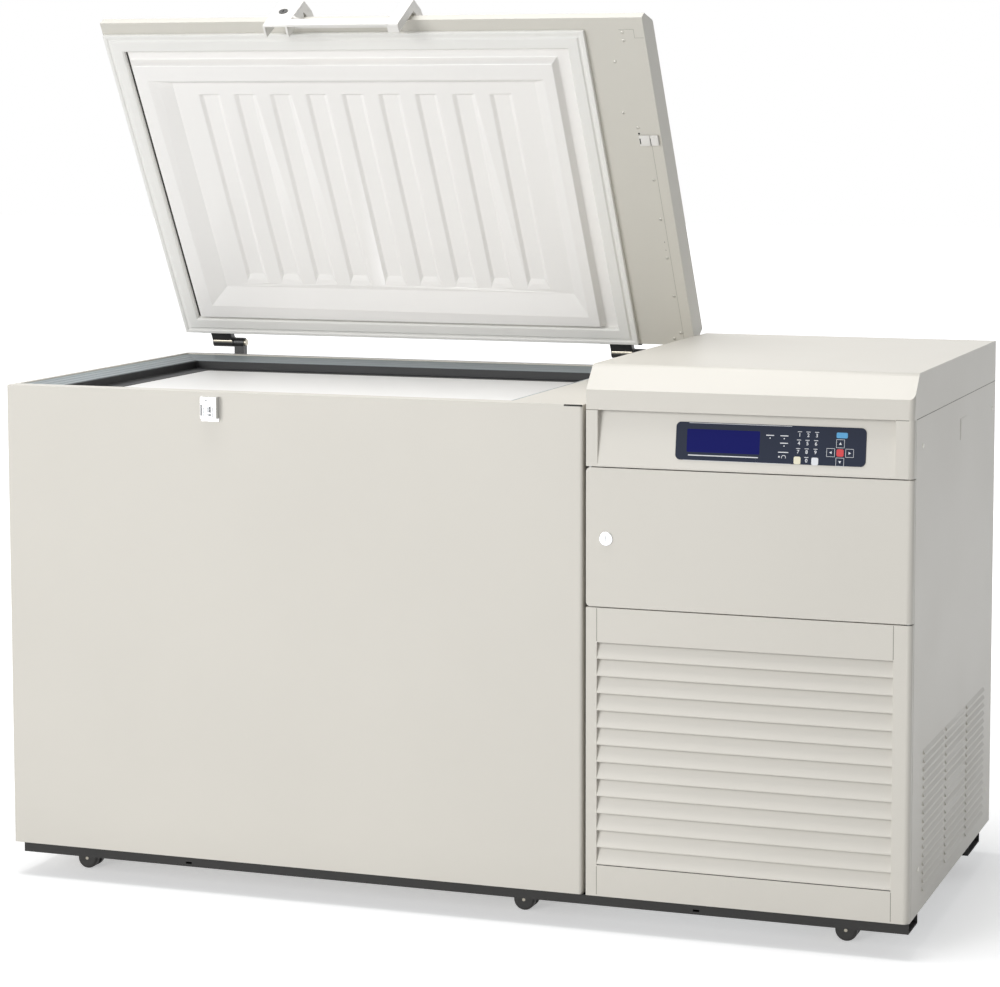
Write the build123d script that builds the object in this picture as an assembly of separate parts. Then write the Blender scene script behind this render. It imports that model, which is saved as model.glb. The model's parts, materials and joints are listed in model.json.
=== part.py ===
from build123d import *
import os
from math import cos, radians, sin

# Chest ultra low temperature freezer, in millimetres, Z up, Y from the front to the back.
# While it is built, X and Y are zero at the middle of the width and at the front face, Z at the floor.
# The last step moves everything so that the origin is under the middle of the whole object.

# Overall sizes
WIDTH = 1730.0                # over the chest section and the machine section
DEPTH = 765.0                 # front face to back face of the cabinet
COVER_TOP_Z = 1010.0          # top of the machine cover
BODY_Z = 65.0                 # underside of the cabinet
CHEST_WIDTH = 1141.0          # chest section, from the left side
SECTION_GAP = 7.0             # between the chest section and the machine section
SHEET = 2.0                   # painted steel sheet
BODY_GAP = 0.3                # free space between two bodies that pass each other
SEAM = 2.0                    # open seam between two front panels
RUNNING = 0.05                # radial play of a pin in its hole

# Chest section
RIM_Z = 940.0                 # top of the chest's rim
CASE_EDGE_R = 6.0             # rounding of the upright edges
FRONT_FLANGE = 35.0           # painted rim in front of the opening
LEFT_FLANGE = 10.0
BACK_FLANGE = 20.0
RIGHT_LEDGE = 141.0           # wide painted ledge beside the machine section
FRAME_W = 39.0                # grooved frame around the opening
FRAME_DROP_OUT = 2.0          # its outer edge below the rim
FRAME_DROP_IN = 10.5          # its inner edge below the rim
FRAME_H = 20.0                # rim down to the frame's underside
GROOVE_W = 3.0
GROOVE_DEPTH = 1.6
BREAKER_W = 43.0              # black ring between the frame and the inner lid
BREAKER_WALL = 3.0
BREAKER_TOP = 12.0            # rim down to the top of its upstand
SHELF_DROP = 27.0             # rim down to its shelf
LINER_DROP = 55.0             # rim down to the liner's flange, where the inner lid rests
LINER_SHEET = 3.0
LINER_SIDE = 33.0             # shelf edge to the liner's opening, left and right
LINER_END = 29.5              # shelf edge to the liner's opening, front and back
LINER_FLANGE = 22.0           # flange under the black ring
INTERIOR_DEPTH = 615.0
LINER_CORNER_R = 20.0
INNER_LID_GAP = 4.0           # around the inner lid
INNER_LID_T = 28.0
INNER_LID_LIFT = 140.0
GRIP_LENGTH = 90.0            # finger recesses near the inner lid's front corners
GRIP_FROM_FRONT = 24.0
GRIP_FROM_END = 70.0
GRIP_WIDTH = 28.0
GRIP_DEPTH = 16.0

# Lid, built closed and then turned up about its hinge line
LID_OPEN_DEG = 60.0
LID_INSET_LEFT = 10.0
LID_INSET_RIGHT = 9.0
LID_BACK_INSET = 28.0         # lid's back edge from the cabinet's back
LID_SEAL_GAP = 10.0           # rim to the lid's underside when closed
LID_THICK = 60.0
LID_FRONT_LIP = 18.0
LID_BEVEL_Y = 38.0
LID_TOP_R = 14.0
HINGE_OUT = 6.0               # hinge line behind the cabinet
HINGE_Z = 964.0
GASKET_LEFT = 3.0             # lid edge to the gasket, left and back
GASKET_FRONT = 24.0
GASKET_W = 37.0
GASKET_LIP = 6.0              # thin outer lip
LID_STRIP = 116.0             # plain painted strip to the right of the gasket
LINER_STRIPS = (7.0, 26.0, 20.0, 3.0)   # gasket to plateau: left, right, front, back
PLATEAU_H = 17.0
PLATEAU_DRAFT = 7.0
PANEL_MARGINS = (32.0, 22.0, 34.0, 29.0)  # plateau edge to the sunk panel
PANEL_DEPTH = 12.0
PANEL_DRAFTS = (40.0, 24.0, 10.0, 42.0)   # slope of each side of the sunk panel
RIB_COUNT = 9
RIB_PITCH = 77.0
RIB_W = 45.0
RIB_DEPTH = 5.0
RIB_MARGINS = (27.0, 16.0)     # panel floor to the ribs, front and back
RIB_DRAFTS = (7.0, 7.0, 3.0, 15.0)
LID_LINER_T = 3.0

# Handle with its lock, seen with the lid closed
HANDLE_LEFT = 396.0           # from the chest's left side
HANDLE_LENGTH = 278.0
HANDLE_FRONT_Y = -28.0
HANDLE_BOTTOM_Z = 882.0
HANDLE_TOP_Z = 980.0
HANDLE_POST_T = 18.0
HANDLE_LEFT_W = 50.0
HANDLE_RIGHT_W = 22.0
HANDLE_BAR_H = 33.0
HANDLE_BAR_DEPTH = 23.0
HANDLE_WALL = 4.0
HANDLE_BAR_FILLET = 12.0
HOUSING_WALL = 4.0
HOUSING_BACK_Y = -2.0         # open back of the lock housing, just clear of the chest's front
HOUSING_ROOF_Z = 960.0
LOCK_X = 419.0                # from the chest's left side
LOCK_Z = 937.0
LOCK_R = 9.0
LOCK_PROUD = 1.5
LOCK_TURN_DEG = 90.0
CAM_T = 2.0
CAM_HUB_R = 7.5
CAM_HOOK_IN_R = 14.0
CAM_HOOK_OUT_R = 17.5
CAM_SPAN_DEG = 100.0

# Strike on the chest's front
STRIKE_LEFT = 405.0           # from the chest's left side
STRIKE_W = 36.0
STRIKE_BOTTOM_Z = 886.0
STRIKE_H = 46.0
STRIKE_REACH = 14.0
STRIKE_SHEET = 1.5
STRIKE_PIN_R = 2.0
STRIKE_PIN_DROP = 11.5        # lock axis down to the pin the cam hooks under
STRIKE_PIN_REACH = 19.0

# Hinges
HINGE_LEFT_X = 96.0           # middle of each hinge from the chest's left side
HINGE_RIGHT_X = 984.0
HINGE_LEAF_W = 89.0
HINGE_LEAF_T = 3.0
HINGE_LEAF_H = 34.0
BARREL_R = 10.0
BARREL_LENGTH = 46.0
HINGE_PIN_R = 4.0
BRACKET_W = 71.0
BRACKET_T = 4.0
BRACKET_H = 110.0
BRACKET_EAR_T = 22.0
BRACKET_EAR_R = 10.0

# Machine section
COVER_Z = 933.0               # underside of the machine cover
COVER_LIP = 35.0
COVER_BEVEL_Y = 40.0
COVER_TOP_R = 16.0
COVER_CORNER_R = 10.0
FASCIA_BOTTOM_Z = 833.0
DOOR_BOTTOM_Z = 585.0
PANEL_WRAP = 16.0             # front panels wrap this far round the right corner
POST_LEFT_W = 21.0            # fascia's plain post, left of the sunk panel
POST_RIGHT_W = 32.0
FASCIA_SINK = 14.0            # sunk panel at its top
FASCIA_LEDGE = 3.0            # plain strip under the sunk panel
PANEL_T = 4.0
OVERLAY_LEFT = 1310.0         # dark control panel, from the chest's left side
OVERLAY_W = 336.0
OVERLAY_H = 66.0
OVERLAY_T = 1.2
OVERLAY_R = 9.0
OVERLAY_BOTTOM = 15.0         # up the sunk panel from its lower edge
WINDOW_LEFT = 20.0            # display window, from the control panel's left end
WINDOW_W = 130.0
WINDOW_H = 40.0
WINDOW_UP = 14.0
WINDOW_T = 1.0
BOARD_T = 12.0                # sunk panel's back to the circuit board's back
BOARD_SHEET = 2.0
BOARD_MARGIN = 10.0
BOARD_POST = 8.0
CHIP_COUNT = 4
CHIP_W = 30.0
CHIP_H = 20.0
CHIP_T = 5.0

# Door with its lock
DOOR_EDGE_R = 8.0
DOOR_SWING_DEG = 95.0
DOOR_HINGE_INSET = 8.0        # hinge pins from the front and from the right side
DOOR_PIN_R = 3.0
DOOR_PIN_LENGTH = 10.0        # depth of the pin's bore in the door
PIN_END_GAP = 1.0
DOOR_CORNER_W = 16.0          # solid corner that carries the pins
DOOR_LOCK_X = 37.0            # from the door's left side
DOOR_LOCK_Z = 706.0
DOOR_LOCK_R = 10.0
DOOR_LOCK_FLANGE_R = 12.5
DOOR_LOCK_LENGTH = 22.0
DOOR_CAM_LENGTH = 30.0
DOOR_CAM_W = 12.0

# Front grille
GRILLE_LEFT = 20.0            # louvre opening from the machine section's left side
GRILLE_RIGHT = 32.0
LOUVRE_COUNT = 13
LOUVRE_PITCH = 30.8
LOUVRE_BOTTOM_Z = 121.0
LOUVRE_SINK = 10.0
LOUVRE_T = 2.5
GRILLE_T = 16.0
PIVOT_W = 18.0                # bracket for the door's lower pin, in a pocket of the grille
PIVOT_H = 12.0

# Side panel
SIDE_LOUVRE_COLUMNS = 3
SIDE_LOUVRE_ROWS = 17
SIDE_LOUVRE_Y = 107.0
SIDE_LOUVRE_W = 175.0
SIDE_LOUVRE_COLUMN_PITCH = 199.0
SIDE_LOUVRE_Z = 96.0
SIDE_LOUVRE_PITCH = 15.2
SIDE_LOUVRE_OUT = 3.5
SIDE_LOUVRE_H = 8.0
SIDE_SLOT_H = 3.0
SIDE_RETURN = 14.0            # bent edge at the back
DOOR_SWEEP = 2.5              # free space behind the door's hinged corner

# Base rails and casters
RAIL_LEFT = 22.0
RAIL_H = 17.0
RAIL_FRONT_W = 75.0
RAIL_REAR_INSET = 220.0       # rear rail's front edge from the cabinet's back
RAIL_REAR_W = 115.0
RAIL_NOTCH_X = (362.0, 1346.0)
RAIL_NOTCH_W = 12.0
RAIL_NOTCH_H = 4.0
CROSS_W = 60.0
CROSS_T = 3.0
CASTER_X = (98.0, 990.0, 1590.0)
CASTER_FRONT_Y = 104.0
CASTER_PLATE = 58.0
CASTER_PLATE_T = 3.0
CASTER_WHEEL_R = 20.0
CASTER_WHEEL_W = 14.0
CASTER_WHEEL_ROUND = 5.0
CASTER_WEB_T = 9.0
CASTER_SIDE_GAP = 0.8
CASTER_TRAIL = 11.0
CASTER_HOOD_R = 17.0
CASTER_STEM_R = 5.0
CASTER_AXLE_R = 3.0

# Machinery
CORE_Y = 72.0                 # front of the condenser from the front face
CORE_T = 44.0
CORE_W = 430.0
CORE_H = 400.0
CORE_TUBE_R = 5.0
CORE_TUBE_ROWS = 8
CORE_PLATE_T = 3.0
FILTER_T = 8.0
FAN_R = 140.0
FAN_HUB_R = 34.0
FAN_BLADES = 5
FAN_RING_GAP = 6.0
SHROUD_T = 46.0
MOTOR_R = 40.0
MOTOR_LENGTH = 62.0
SHAFT_R = 5.0
COMPRESSOR_R = 92.0
COMPRESSOR_H = 230.0
COMPRESSOR_FROM_BACK = 325.0
COMPRESSOR_INSET = 150.0
FOOT_R = 16.0
FOOT_H = 20.0
PIPE_R = 6.0
PIPE_BEND = 24.0
FLOOR_T = 3.0
SHELF_T = 4.0
SHELF_D = 222.0
SHELF_UNDER_DOOR = 14.0
UPRIGHT_W = 26.0
UPRIGHT_SET = 5.5             # right upright behind the side panel's front edge
CORE_RAISE = 10.0
FILTER_CLEAR = 4.0
FILTER_BAR = 12.0
GUIDE_W = 14.0
FAN_HUB_T = 28.0
FAN_CHORD = 74.0
FAN_PITCH_DEG = 28.0
SHAFT_IN = 16.0
COMPRESSOR_DOME_R = 45.0
EXCHANGER_X = 20.0
EXCHANGER_W = 170.0
EXCHANGER_D = 180.0
EXCHANGER_H = 460.0
EXCHANGER_BACK = 16.0
POWER_BOX_X = 60.0
POWER_BOX_W = 280.0
POWER_BOX_D = 110.0
POWER_BOX_H = 190.0
SWITCH_X = 30.0               # breaker on the power box
SWITCH_Z = 40.0
SWITCH_W = 36.0
SWITCH_H = 50.0
SWITCH_OUT = 12.0
BATTERY_X = 400.0
BATTERY_W = 120.0
BATTERY_D = 90.0
BATTERY_H = 95.0
REAR_SLOT_X = 70.0            # slots in the rear panel
REAR_SLOT_STEP = 240.0
REAR_SLOT_W = 200.0
REAR_SLOT_H = 8.0
REAR_SLOT_Z = 200.0
REAR_SLOT_PITCH = 24.0
REAR_SLOT_ROWS = 12
INLET_FROM_LEFT = 90.0        # cord gland in the rear panel
INLET_Z = 130.0
INLET_R = 14.0
INLET_INSIDE = 14.0
INLET_COLLAR = 6.0
INLET_OUT = 20.0
CORD_R = 5.0
PORT_R = 15.0                 # sensor port in the back of the chest
PORT_Z = 560.0

# Places that the sizes above give
X0 = -WIDTH / 2
X1 = WIDTH / 2
CHEST_X1 = X0 + CHEST_WIDTH
MACHINE_X0 = CHEST_X1 + SECTION_GAP
OPENING_X0 = X0 + LEFT_FLANGE
OPENING_X1 = CHEST_X1 - RIGHT_LEDGE
OPENING_Y0 = FRONT_FLANGE
OPENING_Y1 = DEPTH - BACK_FLANGE
HINGE_Y = DEPTH + HINGE_OUT
LID_DEPTH = DEPTH - LID_BACK_INSET
RAIL_REAR_Y = DEPTH - RAIL_REAR_INSET
COMPRESSOR_Y = DEPTH - COMPRESSOR_FROM_BACK
LID_Z = RIM_Z + LID_SEAL_GAP
LID_TOP_Z = LID_Z + LID_THICK
LID_X0 = X0 + LID_INSET_LEFT
LID_X1 = CHEST_X1 - LID_INSET_RIGHT
RAIL_Z = BODY_Z - RAIL_H


def block(x0, x1, y0, y1, z0, z1):
    """Box between two corners."""
    middle = Pos((x0 + x1) / 2, (y0 + y1) / 2, (z0 + z1) / 2)
    return middle * Box(x1 - x0, y1 - y0, z1 - z0)


def along_x(points, x0, x1):
    """Closed (y, z) outline carried from x0 to x1."""
    face = Plane.YZ.offset(x0) * make_face(Polyline(*points, close=True))
    return extrude(face, x1 - x0)


def along_y(points, y0, y1):
    """Closed (x, z) outline carried from y0 to y1."""
    face = Plane.XZ.offset(-y0) * make_face(Polyline(*points, close=True))
    return extrude(face, -(y1 - y0))


def along_z(points, z0, z1):
    """Closed (x, y) outline carried from z0 to z1."""
    face = Plane.XY.offset(z0) * make_face(Polyline(*points, close=True))
    return extrude(face, z1 - z0)


def rod(start, end, radius):
    """Round bar between two points on a line along X, Y or Z."""
    begin = Vector(*start)
    run = Vector(*end) - begin
    plane = Plane(origin=begin, z_dir=run.normalized())
    return extrude(plane * Circle(radius), run.length)


def plate_xy(x0, x1, y0, y1, z0, z1, radius):
    """Plate with rounded upright edges."""
    face = Pos((x0 + x1) / 2, (y0 + y1) / 2, z0) * RectangleRounded(x1 - x0, y1 - y0, radius)
    return extrude(face, z1 - z0)


def frustum(low, high, z0, z1):
    """Solid between two rectangles (x0, x1, y0, y1), one at z0 and one at z1."""
    faces = []
    for (x0, x1, y0, y1), z in ((low, z0), (high, z1)):
        faces.append(Pos((x0 + x1) / 2, (y0 + y1) / 2, z) * Rectangle(x1 - x0, y1 - y0))
    return loft(faces)


def shrink(box, side, end=None):
    """Rectangle (x0, x1, y0, y1) moved in by side left and right and by end front and back."""
    end = side if end is None else end
    return inset(box, (side, side, end, end))


def inset(box, steps):
    """Rectangle (x0, x1, y0, y1) moved in by its own step on the left, right, front and back."""
    return (box[0] + steps[0], box[1] - steps[1], box[2] + steps[2], box[3] - steps[3])


def mitred_ring(box, profile):
    """Ring with mitred corners: profile points are (distance in from the box, z)."""
    x0, x1, y0, y1 = box
    section = Plane.YZ.offset((x0 + x1) / 2) * make_face(
        Polyline(*[(y0 + inward, z) for inward, z in profile], close=True)
    )
    path = Polyline(((x0 + x1) / 2, y0), (x1, y0), (x1, y1), (x0, y1), (x0, y0), close=True)
    return sweep(section, path=path, transition=Transition.RIGHT)


def open_lid(solid):
    """Turn a piece from the closed lid up to its resting place."""
    return solid.rotate(Axis((0, HINGE_Y, HINGE_Z), (-1, 0, 0)), LID_OPEN_DEG)


# Chest section
def make_outer_case():
    """Painted sheet case, open at the top inside its rim flanges."""
    outside = block(X0, CHEST_X1, 0, DEPTH, BODY_Z, RIM_Z)
    outside = fillet(outside.edges().filter_by(Axis.Z), CASE_EDGE_R)
    inside = block(X0 + SHEET, CHEST_X1 - SHEET, SHEET, DEPTH - SHEET, BODY_Z + SHEET, RIM_Z - SHEET)
    inside = fillet(inside.edges().filter_by(Axis.Z), CASE_EDGE_R - SHEET)
    mouth = block(OPENING_X0, OPENING_X1, OPENING_Y0, OPENING_Y1, RIM_Z - 2 * SHEET, RIM_Z + SHEET)
    port = rod((PORT_X, DEPTH - 2 * SHEET, PORT_Z), (PORT_X, DEPTH + SHEET, PORT_Z), PORT_R)
    return outside - inside - mouth - port


def opening_box():
    return (OPENING_X0, OPENING_X1, OPENING_Y0, OPENING_Y1)


def breaker_box():
    return shrink(opening_box(), FRAME_W)


def shelf_box():
    return shrink(breaker_box(), BREAKER_W)


def liner_box():
    """Inside of the liner, seen from above."""
    return shrink(shelf_box(), LINER_SIDE, LINER_END)


PORT_X = (liner_box()[0] + liner_box()[1]) / 2
LINER_FLANGE_Z = RIM_Z - LINER_DROP
LINER_FLOOR_Z = LINER_FLANGE_Z - INTERIOR_DEPTH


def make_top_frame():
    """Grooved frame that slopes down towards the opening."""
    slope = (FRAME_DROP_IN - FRAME_DROP_OUT) / FRAME_W
    profile = [(0, RIM_Z - FRAME_H), (FRAME_W, RIM_Z - FRAME_H), (FRAME_W, RIM_Z - FRAME_DROP_IN)]
    for share in (0.78, 0.5, 0.22):
        middle = share * FRAME_W
        top = RIM_Z - FRAME_DROP_OUT - slope * middle
        profile.append((middle + GROOVE_W / 2, top - slope * GROOVE_W / 2))
        profile.append((middle, top - GROOVE_DEPTH))
        profile.append((middle - GROOVE_W / 2, top + slope * GROOVE_W / 2))
    profile.append((0, RIM_Z - FRAME_DROP_OUT))
    return mitred_ring(opening_box(), profile)


def make_breaker_strip():
    """Black ring with an upstand inside the frame and a shelf around the inner lid."""
    profile = [
        (0, LINER_FLANGE_Z),
        (BREAKER_W, LINER_FLANGE_Z),
        (BREAKER_W, RIM_Z - SHELF_DROP),
        (BREAKER_WALL, RIM_Z - SHELF_DROP),
        (BREAKER_WALL, RIM_Z - BREAKER_TOP),
        (0, RIM_Z - BREAKER_TOP),
    ]
    return mitred_ring(breaker_box(), profile)


def liner_outside():
    """Solid tank that the foam leaves free: wall, floor and flange."""
    wall = shrink(liner_box(), -LINER_SHEET)
    flange = shrink(shelf_box(), -LINER_FLANGE)
    tank = plate_xy(*wall, LINER_FLOOR_Z - LINER_SHEET, LINER_FLANGE_Z, LINER_CORNER_R + LINER_SHEET)
    return tank + block(*flange, LINER_FLANGE_Z - LINER_SHEET, LINER_FLANGE_Z)


def port_hole():
    """Round way through the back for sensor cables."""
    wall_y = liner_box()[3]
    return rod((PORT_X, wall_y - LINER_SHEET, PORT_Z), (PORT_X, DEPTH + SHEET, PORT_Z), PORT_R)


def make_inner_liner():
    cavity = plate_xy(*liner_box(), LINER_FLOOR_Z, LINER_FLANGE_Z + SHEET, LINER_CORNER_R)
    return liner_outside() - cavity - port_hole()


def make_chest_insulation():
    """Foam between the case and the liner, up to the frame and the black ring."""
    foam = block(X0 + SHEET, CHEST_X1 - SHEET, SHEET, DEPTH - SHEET, BODY_Z + SHEET, RIM_Z - SHEET)
    foam = fillet(foam.edges().filter_by(Axis.Z), CASE_EDGE_R - SHEET)
    foam -= block(*opening_box(), RIM_Z - FRAME_H, RIM_Z)
    foam -= block(*breaker_box(), LINER_FLANGE_Z, RIM_Z)
    foam -= liner_outside()
    return foam - port_hole()


def make_port_plug():
    """Soft plug that closes the cable port, with a round head on the back wall."""
    wall_y = liner_box()[3]
    stem = rod((PORT_X, wall_y, PORT_Z), (PORT_X, DEPTH, PORT_Z), PORT_R - BODY_GAP)
    head = rod((PORT_X, DEPTH, PORT_Z), (PORT_X, DEPTH + 6, PORT_Z), PORT_R + 8)
    head = fillet(head.edges().filter_by(GeomType.CIRCLE).sort_by(Axis.Y)[-1], 3)
    return stem + head


def make_inner_lid():
    """Foam inner lid with a rounded top edge and two finger recesses."""
    x0, x1, y0, y1 = shrink(shelf_box(), INNER_LID_GAP)
    base_z = LINER_FLANGE_Z + BODY_GAP
    lid = plate_xy(x0, x1, y0, y1, base_z, base_z + INNER_LID_T, 12)
    lid = fillet(lid.faces().sort_by(Axis.Z)[-1].edges(), 4)
    top_z = base_z + INNER_LID_T
    for end in (x0 + GRIP_FROM_END, x1 - GRIP_FROM_END):
        grip = plate_xy(end - GRIP_WIDTH / 2, end + GRIP_WIDTH / 2,
                        y0 + GRIP_FROM_FRONT, y0 + GRIP_FROM_FRONT + GRIP_LENGTH,
                        top_z - GRIP_DEPTH, top_z + 1, GRIP_WIDTH / 2 - 1)
        lid -= grip
    return lid


# Strike that the lid's lock holds on to
def make_lid_strike():
    x0 = X0 + STRIKE_LEFT
    x1 = x0 + STRIKE_W
    z0 = STRIKE_BOTTOM_Z
    z1 = z0 + STRIKE_H
    front = -STRIKE_REACH
    base = block(x0, x1, -STRIKE_SHEET, 0, z0, z1)
    face = block(x0 + 4, x1, front, front + STRIKE_SHEET, z0 + 6, z1)
    face = fillet(face.edges().filter_by(Axis.Y), 1.5)
    cap = block(x0 + 4, x1, front + STRIKE_SHEET, -STRIKE_SHEET, z1 - STRIKE_SHEET, z1)
    cheek = block(x1 - STRIKE_SHEET, x1, front + STRIKE_SHEET, -STRIKE_SHEET, z0 + 6, z1)
    slot = block(x0 + 19, x0 + 23, front - 1, front + STRIKE_SHEET + 1, z0 + 10, z1 - 18)
    pin_x = X0 + LOCK_X
    pin_z = LOCK_Z - STRIKE_PIN_DROP
    pin = rod((pin_x, front, pin_z), (pin_x, -STRIKE_PIN_REACH, pin_z), STRIKE_PIN_R)
    return base + face - slot + cap + cheek + pin


# Hinges
def hinge_centres():
    return {"left": X0 + HINGE_LEFT_X, "right": X0 + HINGE_RIGHT_X}


def make_hinge_bracket(middle):
    """Black bracket on the back wall with one thick ear that holds the pin."""
    x0 = middle - BRACKET_W / 2
    x1 = middle + BRACKET_W / 2
    bracket = block(x0, x1, DEPTH, DEPTH + BRACKET_T, RIM_Z - BRACKET_H, RIM_Z)
    ear_x = x1 - BRACKET_EAR_T
    bracket += block(ear_x, x1, DEPTH, HINGE_Y + BRACKET_EAR_R, RIM_Z - 40, HINGE_Z)
    bracket += rod((ear_x, HINGE_Y, HINGE_Z), (x1, HINGE_Y, HINGE_Z), BRACKET_EAR_R)
    return bracket - rod((x0 - 1, HINGE_Y, HINGE_Z), (x1 + 1, HINGE_Y, HINGE_Z), HINGE_PIN_R)


def make_hinge_pin(middle):
    x0 = middle - BRACKET_W / 2
    x1 = middle + BRACKET_W / 2
    pin = rod((x0, HINGE_Y, HINGE_Z), (x1, HINGE_Y, HINGE_Z), HINGE_PIN_R)
    return pin + rod((x1, HINGE_Y, HINGE_Z), (x1 + 4, HINGE_Y, HINGE_Z), HINGE_PIN_R + 3)


def make_hinge_leaf(middle):
    """Leaf on the back of the lid with an arm out to its barrel on the pin."""
    back = LID_DEPTH
    x0 = middle - HINGE_LEAF_W / 2 - 8
    leaf = block(x0, x0 + HINGE_LEAF_W, back, back + HINGE_LEAF_T, LID_Z, LID_Z + HINGE_LEAF_H)
    barrel_x1 = middle + BRACKET_W / 2 - BRACKET_EAR_T - 2
    barrel_x0 = barrel_x1 - BARREL_LENGTH
    arm = block(barrel_x0, barrel_x1, back + HINGE_LEAF_T, HINGE_Y, HINGE_Z - 7, HINGE_Z + 7)
    barrel = rod((barrel_x0, HINGE_Y, HINGE_Z), (barrel_x1, HINGE_Y, HINGE_Z), BARREL_R)
    bore = rod((barrel_x0 - 1, HINGE_Y, HINGE_Z), (barrel_x1 + 1, HINGE_Y, HINGE_Z), HINGE_PIN_R + RUNNING)
    return leaf + arm + barrel - bore


# Lid
def lid_outline(depth):
    """(y, z) outline of the lid, moved in by depth from its skin."""
    return [
        (depth, LID_Z + depth),
        (LID_DEPTH - depth, LID_Z + depth),
        (LID_DEPTH - depth, LID_TOP_Z - depth),
        (LID_BEVEL_Y + 0.4 * depth, LID_TOP_Z - depth),
        (depth, LID_Z + LID_FRONT_LIP - 0.4 * depth),
    ]


def lid_solid(depth):
    solid = along_x(lid_outline(depth), LID_X0 + depth, LID_X1 - depth)
    bevel_top = solid.edges().filter_by(Axis.X).sort_by(
        lambda edge: abs(edge.center().Y - LID_BEVEL_Y) + abs(edge.center().Z - LID_TOP_Z)
    )[0]
    return fillet(bevel_top, LID_TOP_R)


def gasket_box():
    """Outer edge of the gasket, seen from above."""
    return (LID_X0 + GASKET_LEFT, LID_X1 - LID_STRIP, GASKET_FRONT, LID_DEPTH - GASKET_LEFT)


def lid_liner_box():
    return shrink(gasket_box(), GASKET_W)


def make_lid_skin():
    """Painted shell of the lid with a hole in its underside for the liner."""
    skin = lid_solid(0) - lid_solid(SHEET)
    hole = shrink(lid_liner_box(), -LID_LINER_T)
    return skin - block(*hole, LID_Z - SHEET, LID_Z + 2 * SHEET)


def make_lid_insulation():
    foam = lid_solid(SHEET)
    return foam - block(*shrink(lid_liner_box(), -LID_LINER_T), LID_Z, LID_Z + SHEET + LID_LINER_T)


def make_lid_liner():
    """Moulded panel under the lid: a raised plateau with a sunk panel and pressed ribs."""
    low_z = LID_Z - PLATEAU_H
    body = block(*shrink(lid_liner_box(), -LID_LINER_T), LID_Z, LID_Z + SHEET + LID_LINER_T)
    foot = inset(lid_liner_box(), LINER_STRIPS)
    plateau = shrink(foot, PLATEAU_DRAFT)
    body += frustum(plateau, foot, low_z, LID_Z)
    mouth = inset(plateau, PANEL_MARGINS)
    floor = inset(mouth, PANEL_DRAFTS)
    floor_z = low_z + PANEL_DEPTH
    body -= frustum(mouth, floor, low_z, floor_z)
    middle = (floor[0] + floor[1]) / 2
    for index in range(RIB_COUNT):
        x = middle + (index - (RIB_COUNT - 1) / 2) * RIB_PITCH
        rib = (x - RIB_W / 2, x + RIB_W / 2, floor[2] + RIB_MARGINS[0], floor[3] - RIB_MARGINS[1])
        body -= frustum(rib, inset(rib, RIB_DRAFTS), floor_z, floor_z + RIB_DEPTH)
    return body


def make_lid_gasket():
    """Soft seal with a thin outer lip and a stepped face, just above the rim when closed."""
    low_z = RIM_Z + BODY_GAP
    profile = [
        (0, LID_Z),
        (GASKET_W, LID_Z),
        (GASKET_W, low_z + 3),
        (GASKET_W - 3, low_z),
        (GASKET_LIP + 9, low_z),
        (GASKET_LIP + 6, low_z + 3),
        (GASKET_LIP + 2, low_z + 3),
        (GASKET_LIP, low_z + 1),
        (0, low_z + 1),
    ]
    return mitred_ring(gasket_box(), profile)


# Handle and lock
def handle_arm(x0, x1):
    """One arm: a post in front of the lid and a root on its bevel."""
    slope = (LID_THICK - LID_FRONT_LIP) / LID_BEVEL_Y
    foot_y0 = 12.0
    foot_y1 = 33.0
    foot_z0 = LID_Z + LID_FRONT_LIP + slope * foot_y0
    foot_z1 = LID_Z + LID_FRONT_LIP + slope * foot_y1
    post_back = HANDLE_FRONT_Y + HANDLE_POST_T
    points = [
        (HANDLE_FRONT_Y, HANDLE_BOTTOM_Z),
        (HANDLE_FRONT_Y, HANDLE_TOP_Z),
        (5, HANDLE_TOP_Z + 22),
        (foot_y1, HANDLE_TOP_Z + 29),
        (foot_y1, foot_z1),
        (foot_y0, foot_z0),
        (post_back, LID_Z + LID_FRONT_LIP),
        (post_back, HANDLE_BOTTOM_Z),
    ]
    arm = along_x(points, x0, x1)
    front = arm.edges().filter_by(Axis.X).sort_by(Axis.Y)[:2]
    return fillet(front, 5)


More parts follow.
